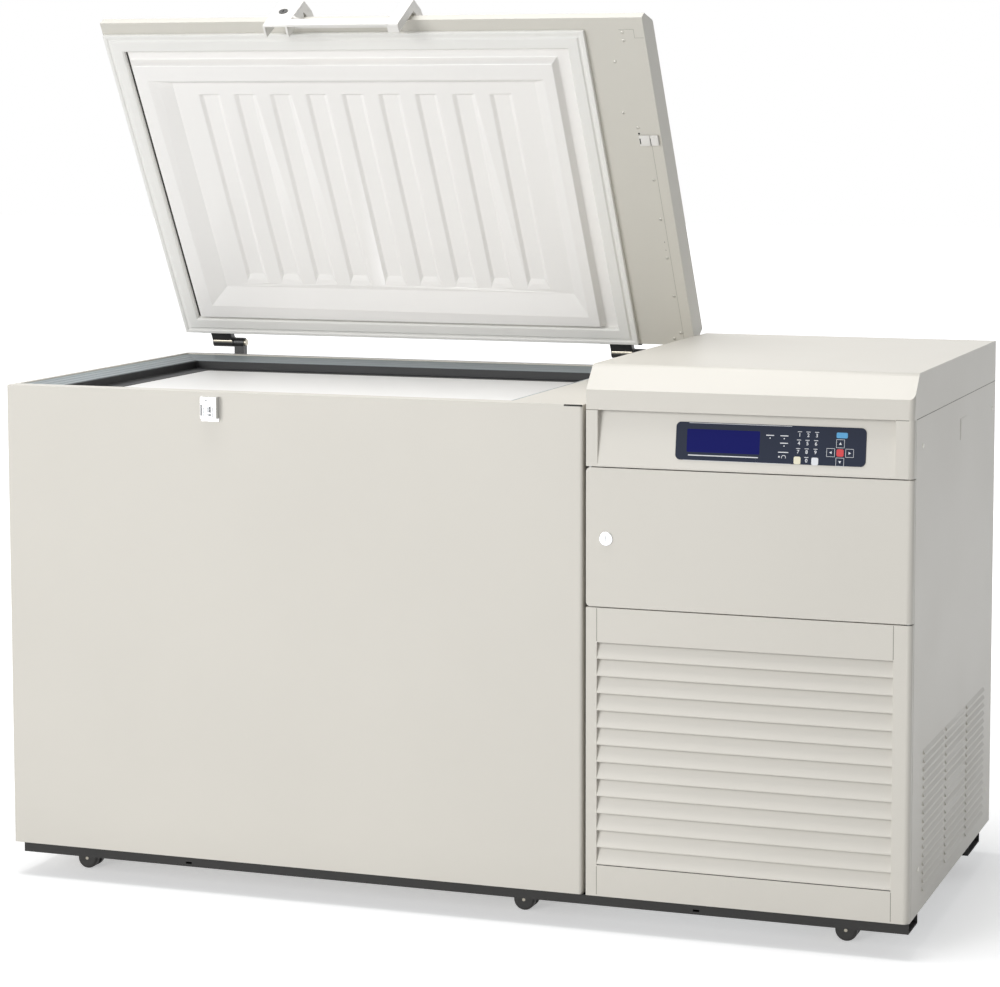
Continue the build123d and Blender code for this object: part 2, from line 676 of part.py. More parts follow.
def make_lid_handle():
    """Moulded handle: two arms, a grip bar open underneath and the lock housing."""
    x0 = X0 + HANDLE_LEFT
    x1 = x0 + HANDLE_LENGTH
    bottom = HANDLE_BOTTOM_Z
    bar_top = bottom + HANDLE_BAR_H
    front = HANDLE_FRONT_Y
    back = front + HANDLE_BAR_DEPTH
    handle = handle_arm(x0, x0 + HANDLE_LEFT_W) + handle_arm(x1 - HANDLE_RIGHT_W, x1)
    bar = along_x([(front, bottom), (front, bar_top - 8), (front + 8, bar_top), (back, bar_top),
                   (back, bar_top - HANDLE_WALL), (front + 10, bar_top - HANDLE_WALL),
                   (front + HANDLE_WALL, bar_top - 10), (front + HANDLE_WALL, bottom)],
                  x0 + HANDLE_LEFT_W - 1, x1 - HANDLE_RIGHT_W + 1)
    housing = block(x0, x0 + HANDLE_LEFT_W, front + HANDLE_POST_T, HOUSING_BACK_Y,
                    bottom, LID_Z + LID_FRONT_LIP - 4)
    handle = handle + bar + housing
    for corner, side in ((x0 + HANDLE_LEFT_W, 1), (x1 - HANDLE_RIGHT_W, -1)):
        reach = corner + side * HANDLE_BAR_FILLET
        web = along_y([(corner, bar_top), (reach, bar_top), (corner, bar_top + HANDLE_BAR_FILLET)],
                      front + 1, front + HANDLE_POST_T)
        round_off = rod((reach, front, bar_top + HANDLE_BAR_FILLET),
                        (reach, front + HANDLE_POST_T + 1, bar_top + HANDLE_BAR_FILLET),
                        HANDLE_BAR_FILLET)
        handle += web - round_off
    cavity = block(x0 + HOUSING_WALL, x0 + HANDLE_LEFT_W - HOUSING_WALL,
                   front + HOUSING_WALL, HOUSING_BACK_Y + 1, bottom - 1, HOUSING_ROOF_Z)
    handle -= cavity
    lock_x = X0 + LOCK_X
    return handle - rod((lock_x, front - 1, LOCK_Z), (lock_x, front + HOUSING_WALL + 1, LOCK_Z),
                        LOCK_R + RUNNING)


def make_lid_lock():
    """Lock cylinder with a hooked cam behind the housing's front wall."""
    lock_x = X0 + LOCK_X
    front = HANDLE_FRONT_Y - LOCK_PROUD
    cam_y0 = HANDLE_FRONT_Y + HOUSING_WALL + 4.5
    cylinder = rod((lock_x, front, LOCK_Z), (lock_x, cam_y0, LOCK_Z), LOCK_R)
    keyway = block(lock_x - 1, lock_x + 1, front - 1, front + 3, LOCK_Z - 4.5, LOCK_Z + 4.5)
    hub = rod((lock_x, cam_y0, LOCK_Z), (lock_x, cam_y0 + CAM_T, LOCK_Z), CAM_HUB_R)
    wide = rod((0, 0, 0), (0, 0, CAM_T), CAM_HOOK_OUT_R)
    hook = wide - rod((0, 0, -1), (0, 0, CAM_T + 1), CAM_HOOK_IN_R)
    half = CAM_SPAN_DEG / 2
    far = 3 * CAM_HOOK_OUT_R
    wedge = along_z([(0, 0), (far * cos(radians(-half)), far * sin(radians(-half))), (far, 0),
                     (far * cos(radians(half)), far * sin(radians(half)))], -1, CAM_T + 1)
    hook = hook & wedge
    middle_r = (CAM_HOOK_IN_R + CAM_HOOK_OUT_R) / 2
    web = Rot(0, 0, half - 8) * block(CAM_HUB_R - 2, middle_r, -2.5, 2.5, 0, CAM_T)
    flat = hook + web
    stand = Pos(lock_x, cam_y0 + CAM_T, LOCK_Z) * Rot(90, 0, 0) * flat
    return cylinder - keyway + hub + stand


# Machine section
def make_machine_cover():
    """Top pan with a front lip and bevel, open underneath."""
    def outline(step):
        return [
            (step, COVER_Z - (1 if step else 0)),
            (DEPTH - step, COVER_Z - (1 if step else 0)),
            (DEPTH - step, COVER_TOP_Z - step),
            (COVER_BEVEL_Y + 0.4 * step, COVER_TOP_Z - step),
            (step, COVER_Z + COVER_LIP - 0.4 * step),
        ]

    def shape(step):
        solid = along_x(outline(step), MACHINE_X0 + step, X1 - step)
        bevel_top = solid.edges().filter_by(Axis.X).sort_by(
            lambda edge: abs(edge.center().Y - COVER_BEVEL_Y) + abs(edge.center().Z - COVER_TOP_Z)
        )[0]
        solid = fillet(bevel_top, COVER_TOP_R)
        corner = solid.edges().filter_by(Axis.Z).sort_by(
            lambda edge: abs(edge.center().Y) + abs(edge.center().X - X1)
        )[0]
        return fillet(corner, COVER_CORNER_R - step)

    return shape(0) - shape(SHEET)


def corner_outline(depth, step):
    """(x, y) outline of a front panel that wraps the rounded right corner, as a face."""
    x0 = MACHINE_X0 + step
    x1 = X1 - step
    outline = make_face(Polyline((x0, step), (x1, step), (x1, depth), (x0, depth), close=True))
    corner = outline.vertices().sort_by(lambda v: abs(v.X - x1) + abs(v.Y - step))[0]
    return fillet(corner, COVER_CORNER_R - step)


def fascia_slope():
    """Outward direction, foot and height of the sunk, backward leaning panel."""
    z0 = FASCIA_BOTTOM_Z + FASCIA_LEDGE
    z1 = COVER_Z
    return z0, z1


def make_control_fascia():
    """Panel under the cover with a sunk face that leans back."""
    z0, z1 = fascia_slope()
    solid = extrude(Pos(0, 0, FASCIA_BOTTOM_Z) * corner_outline(PANEL_WRAP, 0), z1 - FASCIA_BOTTOM_Z)
    x0 = MACHINE_X0 + POST_LEFT_W
    x1 = X1 - POST_RIGHT_W
    solid += along_x([(SHEET, FASCIA_BOTTOM_Z), (FASCIA_SINK + PANEL_T, z1), (SHEET, z1)],
                     x0 - PANEL_T, x1 + PANEL_T)
    solid -= along_x([(-1, z0), (0, z0), (FASCIA_SINK, z1), (FASCIA_SINK, z1 + 1), (-1, z1 + 1)], x0, x1)
    lean = FASCIA_SINK / (z1 - z0)
    behind = along_x([(PANEL_T, FASCIA_BOTTOM_Z - 1), (2 * PANEL_WRAP, FASCIA_BOTTOM_Z - 1),
                      (2 * PANEL_WRAP, z1 - SHEET), (PANEL_T + lean * (z1 - SHEET - z0), z1 - SHEET),
                      (PANEL_T, z0)], x0 + SHEET, x1 - SHEET)
    pin = door_pin(FASCIA_BOTTOM_Z - SEAM - DOOR_PIN_LENGTH + PIN_END_GAP, FASCIA_BOTTOM_Z + 1, DOOR_PIN_R)
    return solid - behind + pin


def door_hinge_x():
    return X1 - DOOR_HINGE_INSET


def door_pin(low_z, high_z, radius):
    """Upright pin, or its bore, on the door's hinge line."""
    return rod((door_hinge_x(), DOOR_HINGE_INSET, low_z), (door_hinge_x(), DOOR_HINGE_INSET, high_z), radius)


def sunk_plane():
    """Plane on the sunk panel: x along X, y up the slope, origin at its lower left corner."""
    z0, z1 = fascia_slope()
    up = Vector(0, FASCIA_SINK, z1 - z0).normalized()
    return Plane(origin=(X0, 0, z0), x_dir=(1, 0, 0), z_dir=Vector(1, 0, 0).cross(up))


def on_slope(x0, width, y0, height, lift, thick, radius):
    """Rounded plate lying on the sunk panel."""
    face = Pos(x0 + width / 2, y0 + height / 2, lift) * RectangleRounded(width, height, radius)
    return sunk_plane() * extrude(face, thick)


def make_control_overlay():
    """Dark keypad sheet with a window cut for the display."""
    sheet = on_slope(OVERLAY_LEFT, OVERLAY_W, OVERLAY_BOTTOM, OVERLAY_H, 0, OVERLAY_T, OVERLAY_R)
    return sheet - on_slope(OVERLAY_LEFT + WINDOW_LEFT, WINDOW_W, OVERLAY_BOTTOM + WINDOW_UP, WINDOW_H,
                            -1, OVERLAY_T + 2, 2)


def make_display_window():
    return on_slope(OVERLAY_LEFT + WINDOW_LEFT, WINDOW_W, OVERLAY_BOTTOM + WINDOW_UP, WINDOW_H,
                    0, WINDOW_T, 2)


def make_control_board():
    """Circuit board with its parts, on four posts behind the sunk panel."""
    left = OVERLAY_LEFT + BOARD_MARGIN
    width = OVERLAY_W - 2 * BOARD_MARGIN
    low = OVERLAY_BOTTOM + BOARD_MARGIN / 2
    height = OVERLAY_H - BOARD_MARGIN
    back = -PANEL_T - BOARD_T
    board = on_slope(left, width, low, height, back, BOARD_SHEET, 2)
    for index in range(CHIP_COUNT):
        chip_left = left + (index + 0.5) * width / CHIP_COUNT - CHIP_W / 2
        board += on_slope(chip_left, CHIP_W, low + (height - CHIP_H) / 2, CHIP_H, back + BOARD_SHEET, CHIP_T, 1)
    for post_left in (left, left + width - BOARD_POST):
        for post_low in (low, low + height - BOARD_POST):
            board += on_slope(post_left, BOARD_POST, post_low, BOARD_POST,
                              back + BOARD_SHEET, BOARD_T - BOARD_SHEET, BOARD_POST / 4)
    return board


def make_front_door():
    """Shallow pan with returns all round and bores for the pivot pins at its right edge."""
    z0 = DOOR_BOTTOM_Z
    z1 = FASCIA_BOTTOM_Z - SEAM
    depth = PANEL_WRAP
    outside = extrude(Pos(0, 0, z0) * corner_outline(depth, 0), z1 - z0)
    outside = fillet(outside.edges().filter_by(Axis.Y).sort_by(Axis.X)[:2], DOOR_EDGE_R)
    inside = block(MACHINE_X0 + SHEET, X1 - DOOR_CORNER_W, SHEET, depth + 1, z0 + SHEET, z1 - SHEET)
    door = outside - inside
    for low, high in ((z0 - 1, z0 + DOOR_PIN_LENGTH), (z1 - DOOR_PIN_LENGTH, z1 + 1)):
        door -= door_pin(low, high, DOOR_PIN_R + RUNNING)
    bore_x = MACHINE_X0 + DOOR_LOCK_X
    return door - rod((bore_x, -1, DOOR_LOCK_Z), (bore_x, SHEET + 1, DOOR_LOCK_Z), DOOR_LOCK_R + RUNNING)


def make_door_lock():
    """Key cylinder with its flange, and the cam that turns behind the left upright."""
    x = MACHINE_X0 + DOOR_LOCK_X
    z = DOOR_LOCK_Z
    flange = rod((x, -2.2, z), (x, -BODY_GAP, z), DOOR_LOCK_FLANGE_R)
    flange = fillet(flange.edges().filter_by(GeomType.CIRCLE).sort_by(Axis.Y)[0], 1.2)
    barrel = rod((x, -BODY_GAP, z), (x, DOOR_LOCK_LENGTH, z), DOOR_LOCK_R)
    keyway = block(x - 1, x + 1, -4, 2, z - 5, z + 5)
    cam = block(x - DOOR_CAM_W / 2, x + DOOR_CAM_W / 2, DOOR_LOCK_LENGTH, DOOR_LOCK_LENGTH + 3,
                z - DOOR_CAM_LENGTH, z + DOOR_CAM_W / 2)
    cam = fillet(cam.edges().filter_by(Axis.Y), DOOR_CAM_W / 3)
    return flange + barrel - keyway + cam


def make_front_grille():
    """Lower front panel with a louvre opening; each slat leans out towards its lower edge."""
    z1 = DOOR_BOTTOM_Z - SEAM
    z0 = BODY_Z
    outside = extrude(Pos(0, 0, z0) * corner_outline(GRILLE_T, 0), z1 - z0)
    inside = extrude(Pos(0, 0, z0 + SHEET) * corner_outline(GRILLE_T + 1, SHEET), z1 - z0 - 2 * SHEET)
    x0 = MACHINE_X0 + GRILLE_LEFT
    x1 = X1 - GRILLE_RIGHT
    top_z = LOUVRE_BOTTOM_Z + LOUVRE_COUNT * LOUVRE_PITCH
    window = block(x0, x1, -1, GRILLE_T + 2, LOUVRE_BOTTOM_Z, top_z)
    pocket = block(X1 - PIVOT_W - 2 * SHEET, X1 - SHEET, 2 * SHEET, GRILLE_T + 1, z1 - 2 * SHEET, z1 + 1)
    panel = outside - inside - window - pocket
    for rail_x in (x0 - 3, x1):
        panel += block(rail_x, rail_x + 3, 0, LOUVRE_SINK + 4, LOUVRE_BOTTOM_Z, top_z)
    for index in range(LOUVRE_COUNT):
        low = LOUVRE_BOTTOM_Z + index * LOUVRE_PITCH + 1.5
        high = low + LOUVRE_PITCH - 1.0
        slat = along_x([(0.4, low), (0.4, low + 2), (LOUVRE_SINK, high),
                        (LOUVRE_SINK + LOUVRE_T, high), (LOUVRE_T + 0.4, low)], x0 - 1, x1 + 1)
        panel += slat
    return panel


def make_side_panel():
    """Right side with three columns of pressed louvres."""
    y0 = PANEL_WRAP + DOOR_SWEEP
    top = COVER_Z - BODY_GAP
    panel = block(X1 - SHEET, X1, y0, DEPTH, BODY_Z, top)
    panel += block(X1 - SIDE_RETURN, X1, DEPTH - SHEET, DEPTH, BODY_Z, top)
    hoods = []
    slots = []
    for column in range(SIDE_LOUVRE_COLUMNS):
        low_y = SIDE_LOUVRE_Y + column * SIDE_LOUVRE_COLUMN_PITCH
        high_y = low_y + SIDE_LOUVRE_W
        for row in range(SIDE_LOUVRE_ROWS):
            z = SIDE_LOUVRE_Z + row * SIDE_LOUVRE_PITCH
            hood = along_y([(X1, z), (X1 + SIDE_LOUVRE_OUT, z), (X1 + SIDE_LOUVRE_OUT, z + 1),
                            (X1, z + SIDE_LOUVRE_H)], low_y, high_y)
            hoods.append(hood)
            slots.append(block(X1 - SHEET - 1, X1 + SIDE_LOUVRE_OUT - 1, low_y + 3, high_y - 3,
                               z - 1, z + SIDE_SLOT_H))
    panel = panel + hoods
    return panel - slots


def make_rear_panel():
    """Back of the machine section with two fields of slots for the outgoing air."""
    x1 = X1 - SIDE_RETURN
    panel = block(MACHINE_X0, x1, DEPTH - SHEET, DEPTH, BODY_Z, COVER_Z - BODY_GAP)
    slots = []
    for column in range(2):
        x = MACHINE_X0 + REAR_SLOT_X + column * REAR_SLOT_STEP
        for row in range(REAR_SLOT_ROWS):
            z = REAR_SLOT_Z + row * REAR_SLOT_PITCH
            slots.append(block(x, x + REAR_SLOT_W, DEPTH - SHEET - 1, DEPTH + 1, z, z + REAR_SLOT_H))
    inlet = rod((inlet_x(), DEPTH - 2 * SHEET, INLET_Z), (inlet_x(), DEPTH + 1, INLET_Z), INLET_R)
    return panel - slots - inlet


def inlet_x():
    return MACHINE_X0 + INLET_FROM_LEFT


def make_power_inlet():
    """Gland where the mains cord enters."""
    x = inlet_x()
    body = rod((x, DEPTH - INLET_INSIDE, INLET_Z), (x, DEPTH, INLET_Z), INLET_R)
    collar = rod((x, DEPTH, INLET_Z), (x, DEPTH + INLET_COLLAR, INLET_Z), INLET_R + 5)
    nose = rod((x, DEPTH + INLET_COLLAR, INLET_Z), (x, DEPTH + INLET_OUT, INLET_Z), INLET_R - 2)
    nose = fillet(nose.edges().filter_by(GeomType.CIRCLE).sort_by(Axis.Y)[-1], 4)
    cord_way = rod((x, DEPTH - INLET_INSIDE - 1, INLET_Z), (x, DEPTH + INLET_OUT + 1, INLET_Z), CORD_R)
    return body + collar + nose - cord_way


def make_machine_frame():
    """Floor, partition, uprights, shelf and door pivot that carry the machinery and panels."""
    left = MACHINE_X0
    right = X1 - SHEET
    front = PANEL_WRAP + DOOR_SWEEP
    back = DEPTH - SHEET
    shelf_top = DOOR_BOTTOM_Z - SHELF_UNDER_DOOR
    shelf_low = shelf_top - SHELF_T
    frame = block(left, right, front, back, BODY_Z, BODY_Z + FLOOR_T)
    frame += block(left, left + SHEET, front, back, BODY_Z, COVER_Z)
    frame += block(left, left + UPRIGHT_W, front, front + SHEET, BODY_Z, FASCIA_BOTTOM_Z)
    post_y = front + UPRIGHT_SET
    frame += block(right - UPRIGHT_W, right, post_y, post_y + SHEET, BODY_Z, FASCIA_BOTTOM_Z)
    frame += block(right - UPRIGHT_W, right - UPRIGHT_W + SHEET, post_y, post_y + UPRIGHT_W,
                   BODY_Z, FASCIA_BOTTOM_Z)
    frame += block(right - UPRIGHT_W, right, back - UPRIGHT_W, back, BODY_Z, COVER_Z)
    frame += block(left, right, post_y, post_y + SHELF_D, shelf_low, shelf_top)
    wall_y = post_y + SHELF_D
    frame += block(left, right, wall_y - SHELF_T, wall_y, shelf_low, COVER_Z)
    pivot_top = DOOR_BOTTOM_Z - SEAM - BODY_GAP
    pivot = block(X1 - PIVOT_W, right - BODY_GAP, 2 * SHEET + BODY_GAP, post_y + SHEET,
                  pivot_top - PIVOT_H, pivot_top)
    outer_corner = pivot.edges().filter_by(Axis.Z).sort_by(
        lambda edge: abs(edge.center().X - X1) + abs(edge.center().Y)
    )[0]
    pivot = fillet(outer_corner, COVER_CORNER_R - SHEET - 2 * BODY_GAP)
    pin = door_pin(pivot_top - 1, DOOR_BOTTOM_Z + DOOR_PIN_LENGTH - PIN_END_GAP, DOOR_PIN_R)
    return frame + pivot + pin


def shelf_top_z():
    return DOOR_BOTTOM_Z - SHELF_UNDER_DOOR


def shelf_wall_y():
    return PANEL_WRAP + DOOR_SWEEP + UPRIGHT_SET + SHELF_D - SHELF_T


def make_electrical_box():
    """Power box on the shelf behind the door."""
    x0 = MACHINE_X0 + POWER_BOX_X
    y1 = shelf_wall_y()
    z0 = shelf_top_z()
    body = block(x0, x0 + POWER_BOX_W, y1 - POWER_BOX_D, y1, z0, z0 + POWER_BOX_H)
    body = fillet(body.edges().filter_by(Axis.Y), 6)
    front = y1 - POWER_BOX_D
    cover = block(x0 + 8, x0 + POWER_BOX_W - 8, front - 3, front, z0 + 8, z0 + POWER_BOX_H - 8)
    breaker = block(x0 + SWITCH_X, x0 + SWITCH_X + SWITCH_W, front - SWITCH_OUT, front,
                    z0 + SWITCH_Z, z0 + SWITCH_Z + SWITCH_H)
    return body + fillet(cover.edges().filter_by(Axis.Y), 4) + breaker


def make_backup_battery():
    """Battery for the alarm, on the shelf beside the power box."""
    x0 = MACHINE_X0 + BATTERY_X
    y1 = shelf_wall_y()
    z0 = shelf_top_z()
    case = block(x0, x0 + BATTERY_W, y1 - BATTERY_D, y1, z0, z0 + BATTERY_H)
    case = fillet(case.edges().filter_by(Axis.Z), 5)
    posts = [rod((x, y1 - BATTERY_D / 2, z0 + BATTERY_H), (x, y1 - BATTERY_D / 2, z0 + BATTERY_H + 8), 5)
             for x in (x0 + 20, x0 + BATTERY_W - 20)]
    return case + posts


# Machinery
def core_middle_x():
    return (MACHINE_X0 + X1) / 2


def core_z():
    return BODY_Z + FLOOR_T + CORE_RAISE


def fan_z():
    return core_z() + CORE_H / 2


def make_condenser():
    """Finned core between two end plates, with the tube bends outside one of them."""
    x = core_middle_x()
    z0 = core_z()
    y0 = CORE_Y
    y1 = CORE_Y + CORE_T
    core = block(x - CORE_W / 2, x + CORE_W / 2, y0 + 2, y1 - 2, z0 + 4, z0 + CORE_H - 4)
    for side in (-1, 1):
        inner = x + side * CORE_W / 2
        low, high = min(inner, inner + side * CORE_PLATE_T), max(inner, inner + side * CORE_PLATE_T)
        core += block(low, high, y0, y1, z0 - CORE_RAISE, z0 + CORE_H)
    pitch = CORE_H / CORE_TUBE_ROWS
    end_x = x + CORE_W / 2 + CORE_PLATE_T
    bend_r = CORE_T / 4
    keep = block(end_x, end_x + 3 * bend_r, y0, y1, z0, z0 + CORE_H)
    bends = []
    for row in range(CORE_TUBE_ROWS):
        ring = Pos(end_x, (y0 + y1) / 2, z0 + (row + 0.5) * pitch) * Torus(bend_r, CORE_TUBE_R)
        bends.append(ring & keep)
    return core + bends


def make_condenser_filter():
    """Washable mesh in a thin frame, in front of the condenser."""
    x = core_middle_x()
    z0 = core_z()
    y1 = CORE_Y - FILTER_CLEAR
    y0 = y1 - FILTER_T
    frame = block(x - CORE_W / 2, x + CORE_W / 2, y0, y1, z0, z0 + CORE_H)
    cells = []
    cell_w = (CORE_W - 5 * FILTER_BAR) / 4
    cell_h = (CORE_H - 5 * FILTER_BAR) / 4
    for column in range(4):
        for row in range(4):
            x0 = x - CORE_W / 2 + FILTER_BAR + column * (cell_w + FILTER_BAR)
            low = z0 + FILTER_BAR + row * (cell_h + FILTER_BAR)
            cells.append(block(x0, x0 + cell_w, y0 - 1, (y0 + y1) / 2 - 0.5, low, low + cell_h))
            cells.append(block(x0, x0 + cell_w, (y0 + y1) / 2 + 0.5, y1 + 1, low, low + cell_h))
    return frame - cells


def make_filter_guides():
    """Two channels on the condenser's front that hold the filter."""
    x = core_middle_x()
    z0 = core_z()
    low_y = CORE_Y - FILTER_CLEAR - FILTER_T - 2
    guides = []
    for side in (-1, 1):
        inner = x + side * (CORE_W / 2 + BODY_GAP)
        outer = x + side * (CORE_W / 2 + GUIDE_W)
        guides.append(block(min(inner, outer), max(inner, outer), low_y, CORE_Y, BODY_Z + FLOOR_T, z0 + CORE_H))
    return Compound(children=guides)


def make_fan_shroud():
    """Plate behind the condenser with a ring around the fan."""
    x = core_middle_x()
    y0 = CORE_Y + CORE_T
    z0 = core_z()
    plate = block(x - CORE_W / 2, x + CORE_W / 2, y0, y0 + SHEET, z0 - CORE_RAISE, z0 + CORE_H)
    ring_r = FAN_R + FAN_RING_GAP
    ring = rod((x, y0, fan_z()), (x, y0 + SHROUD_T, fan_z()), ring_r + SHEET)
    return plate + ring - rod((x, y0 - 1, fan_z()), (x, y0 + SHROUD_T + 1, fan_z()), ring_r)


def make_fan_motor():
    """Motor held behind the fan by four arms on the shroud's ring."""
    x = core_middle_x()
    y0 = CORE_Y + CORE_T + SHROUD_T
    body = rod((x, y0, fan_z()), (x, y0 + MOTOR_LENGTH, fan_z()), MOTOR_R)
    body = fillet(body.edges().filter_by(GeomType.CIRCLE).sort_by(Axis.Y)[-1], 8)
    reach = FAN_R + FAN_RING_GAP + SHEET
    for turn in range(4):
        arm = block(MOTOR_R - 4, reach, 0, SHEET, -7, 7)
        body += Pos(x, y0, fan_z()) * Rot(0, 45 + 90 * turn, 0) * arm
    bore = rod((x, y0 - 1, fan_z()), (x, y0 + SHAFT_IN, fan_z()), SHAFT_R + RUNNING)
    return body - bore


def make_fan_blade():
    """Fan wheel with pitched blades and its shaft."""
    x = core_middle_x()
    y_mid = CORE_Y + CORE_T + SHROUD_T / 2
    hub = rod((0, -FAN_HUB_T / 2, 0), (0, FAN_HUB_T / 2, 0), FAN_HUB_R)
    hub = fillet(hub.edges().filter_by(GeomType.CIRCLE).sort_by(Axis.Y)[0], 6)
    disc = rod((0, -SHROUD_T / 2, 0), (0, SHROUD_T / 2, 0), FAN_R)
    blades = []
    for turn in range(FAN_BLADES):
        blade = block(FAN_HUB_R - 6, FAN_R + 5, -1.5, 1.5, -FAN_CHORD / 2, FAN_CHORD / 2)
        blade = Rot(FAN_PITCH_DEG, 0, 0) * blade
        blades.append((Rot(0, 360 / FAN_BLADES * turn, 0) * blade) & disc)
    shaft_end = SHROUD_T / 2 + SHAFT_IN - 2
    wheel = hub + blades + rod((0, 0, 0), (0, shaft_end, 0), SHAFT_R)
    return Pos(x, y_mid, fan_z()) * wheel


def compressor_base_z():
    return BODY_Z + FLOOR_T + FOOT_H


def make_compressor(x):
    """Welded shell on a foot plate with four rubber feet and a terminal cover."""
    z0 = compressor_base_z()
    y = COMPRESSOR_Y
    shell = rod((x, y, z0), (x, y, z0 + COMPRESSOR_H), COMPRESSOR_R)
    rims = shell.edges().filter_by(GeomType.CIRCLE).sort_by(Axis.Z)
    shell = fillet(rims[-1], COMPRESSOR_DOME_R)
    seam = rod((x, y, z0 + 0.6 * COMPRESSOR_H), (x, y, z0 + 0.6 * COMPRESSOR_H + 6), COMPRESSOR_R + 3)
    half = COMPRESSOR_R
    foot_plate = plate_xy(x - half, x + half, y - half, y + half, z0, z0 + 4, 20)
    reach = half - FOOT_R - 2
    feet = [rod((x + i * reach, y + j * reach, BODY_Z + FLOOR_T), (x + i * reach, y + j * reach, z0), FOOT_R)
            for i in (-1, 1) for j in (-1, 1)]
    box_z = z0 + 0.25 * COMPRESSOR_H
    terminal = block(x - 32, x + 32, y - COMPRESSOR_R - 22, y - COMPRESSOR_R + 20, box_z, box_z + 60)
    return shell + seam + foot_plate + feet + terminal


def compressor_xs():
    return (MACHINE_X0 + COMPRESSOR_INSET, X1 - COMPRESSOR_INSET)


def make_heat_exchanger():
    """Foamed box where the high stage cools the low stage."""
    x0 = MACHINE_X0 + EXCHANGER_X
    y1 = DEPTH - SHEET - EXCHANGER_BACK
    z0 = BODY_Z + FLOOR_T
    case = block(x0, x0 + EXCHANGER_W, y1 - EXCHANGER_D, y1, z0, z0 + EXCHANGER_H)
    return fillet(case.edges().filter_by(Axis.Z), 18)


def pipe(points, bend):
    """Round tube along a bent route."""
    path = FilletPolyline(*points, radius=bend)
    start = Vector(*points[0])
    direction = (Vector(*points[1]) - start).normalized()
    return sweep(Plane(origin=start, z_dir=direction) * Circle(PIPE_R), path=path)


def make_refrigerant_pipes():
    """Discharge, transfer and suction lines between the machinery and the chest."""
    low_x, high_x = compressor_xs()
    top = compressor_base_z() + COMPRESSOR_H
    step = 30.0
    start_y = COMPRESSOR_Y + step
    core_end = core_middle_x() + CORE_W / 2 + CORE_PLATE_T
    entry_z = core_z() + CORE_H - 2 * step
    core_y = CORE_Y + CORE_T / 2
    discharge = pipe([(high_x + 20, start_y, top), (high_x + 20, start_y, entry_z),
                      (core_end + step, start_y, entry_z), (core_end + step, core_y, entry_z),
                      (core_end, core_y, entry_z)], PIPE_BEND)
    box_front = DEPTH - SHEET - EXCHANGER_BACK - EXCHANGER_D
    transfer = pipe([(low_x, start_y, top), (low_x, start_y, top + 2 * step),
                     (low_x, box_front, top + 2 * step)], PIPE_BEND)
    box_top = BODY_Z + FLOOR_T + EXCHANGER_H
    box_x = MACHINE_X0 + EXCHANGER_X + EXCHANGER_W / 2
    box_y = box_front + EXCHANGER_D / 2
    suction = pipe([(box_x, box_y, box_top), (box_x, box_y, box_top + 3 * step),
                    (MACHINE_X0 + SHEET, box_y, box_top + 3 * step)], PIPE_BEND)
    return Compound(children=[discharge, transfer, suction])


# Base
def make_front_rail():
    x0 = X0 + RAIL_LEFT
    rail = along_x([(0, BODY_Z), (0, RAIL_Z), (RAIL_FRONT_W, RAIL_Z), (RAIL_FRONT_W, BODY_Z),
                    (RAIL_FRONT_W - SHEET, BODY_Z), (RAIL_FRONT_W - SHEET, RAIL_Z + SHEET),
                    (SHEET, RAIL_Z + SHEET), (SHEET, BODY_Z)], x0, X1)
    for notch in RAIL_NOTCH_X:
        rail -= block(X0 + notch, X0 + notch + RAIL_NOTCH_W, -1, SHEET + 1,
                      RAIL_Z + 5, RAIL_Z + 5 + RAIL_NOTCH_H)
    return rail


def make_rear_rail():
    x0 = X0 + RAIL_LEFT
    y0 = RAIL_REAR_Y
    y1 = RAIL_REAR_Y + RAIL_REAR_W
    return along_x([(y0, BODY_Z), (y0, RAIL_Z), (y1, RAIL_Z), (y1, BODY_Z), (y1 - SHEET, BODY_Z),
                    (y1 - SHEET, RAIL_Z + SHEET), (y0 + SHEET, RAIL_Z + SHEET), (y0 + SHEET, BODY_Z)],
                   x0, X1)


def make_cross_members():
    """Three channels between the front and the rear rail, over the casters."""
    bars = []
    for x in CASTER_X:
        left = X0 + x - CROSS_W / 2
        right = left + CROSS_W
        inner = CROSS_T
        bars.append(along_y([(left, BODY_Z), (left, RAIL_Z), (right, RAIL_Z), (right, BODY_Z),
                             (right - inner, BODY_Z), (right - inner, RAIL_Z + inner),
                             (left + inner, RAIL_Z + inner), (left + inner, BODY_Z)],
                            RAIL_FRONT_W + BODY_GAP, RAIL_REAR_Y - BODY_GAP))
    return Compound(children=bars)


def caster_places():
    rear_y = RAIL_REAR_Y + RAIL_REAR_W / 2
    return [(X0 + x, y) for y in (CASTER_FRONT_Y, rear_y) for x in CASTER_X]


def make_caster_plates():
    """Top plates, each bored for its caster's stem."""
    plates = []
    half = CASTER_PLATE / 2
    for x, y in caster_places():
        plate = plate_xy(x - half, x + half, y - half, y + half, RAIL_Z - CASTER_PLATE_T, RAIL_Z, 6)
        plate -= rod((x, y, RAIL_Z - CASTER_PLATE_T - 1), (x, y, RAIL_Z + 1), CASTER_STEM_R + RUNNING)
        plates.append(plate)
    return Compound(children=plates)


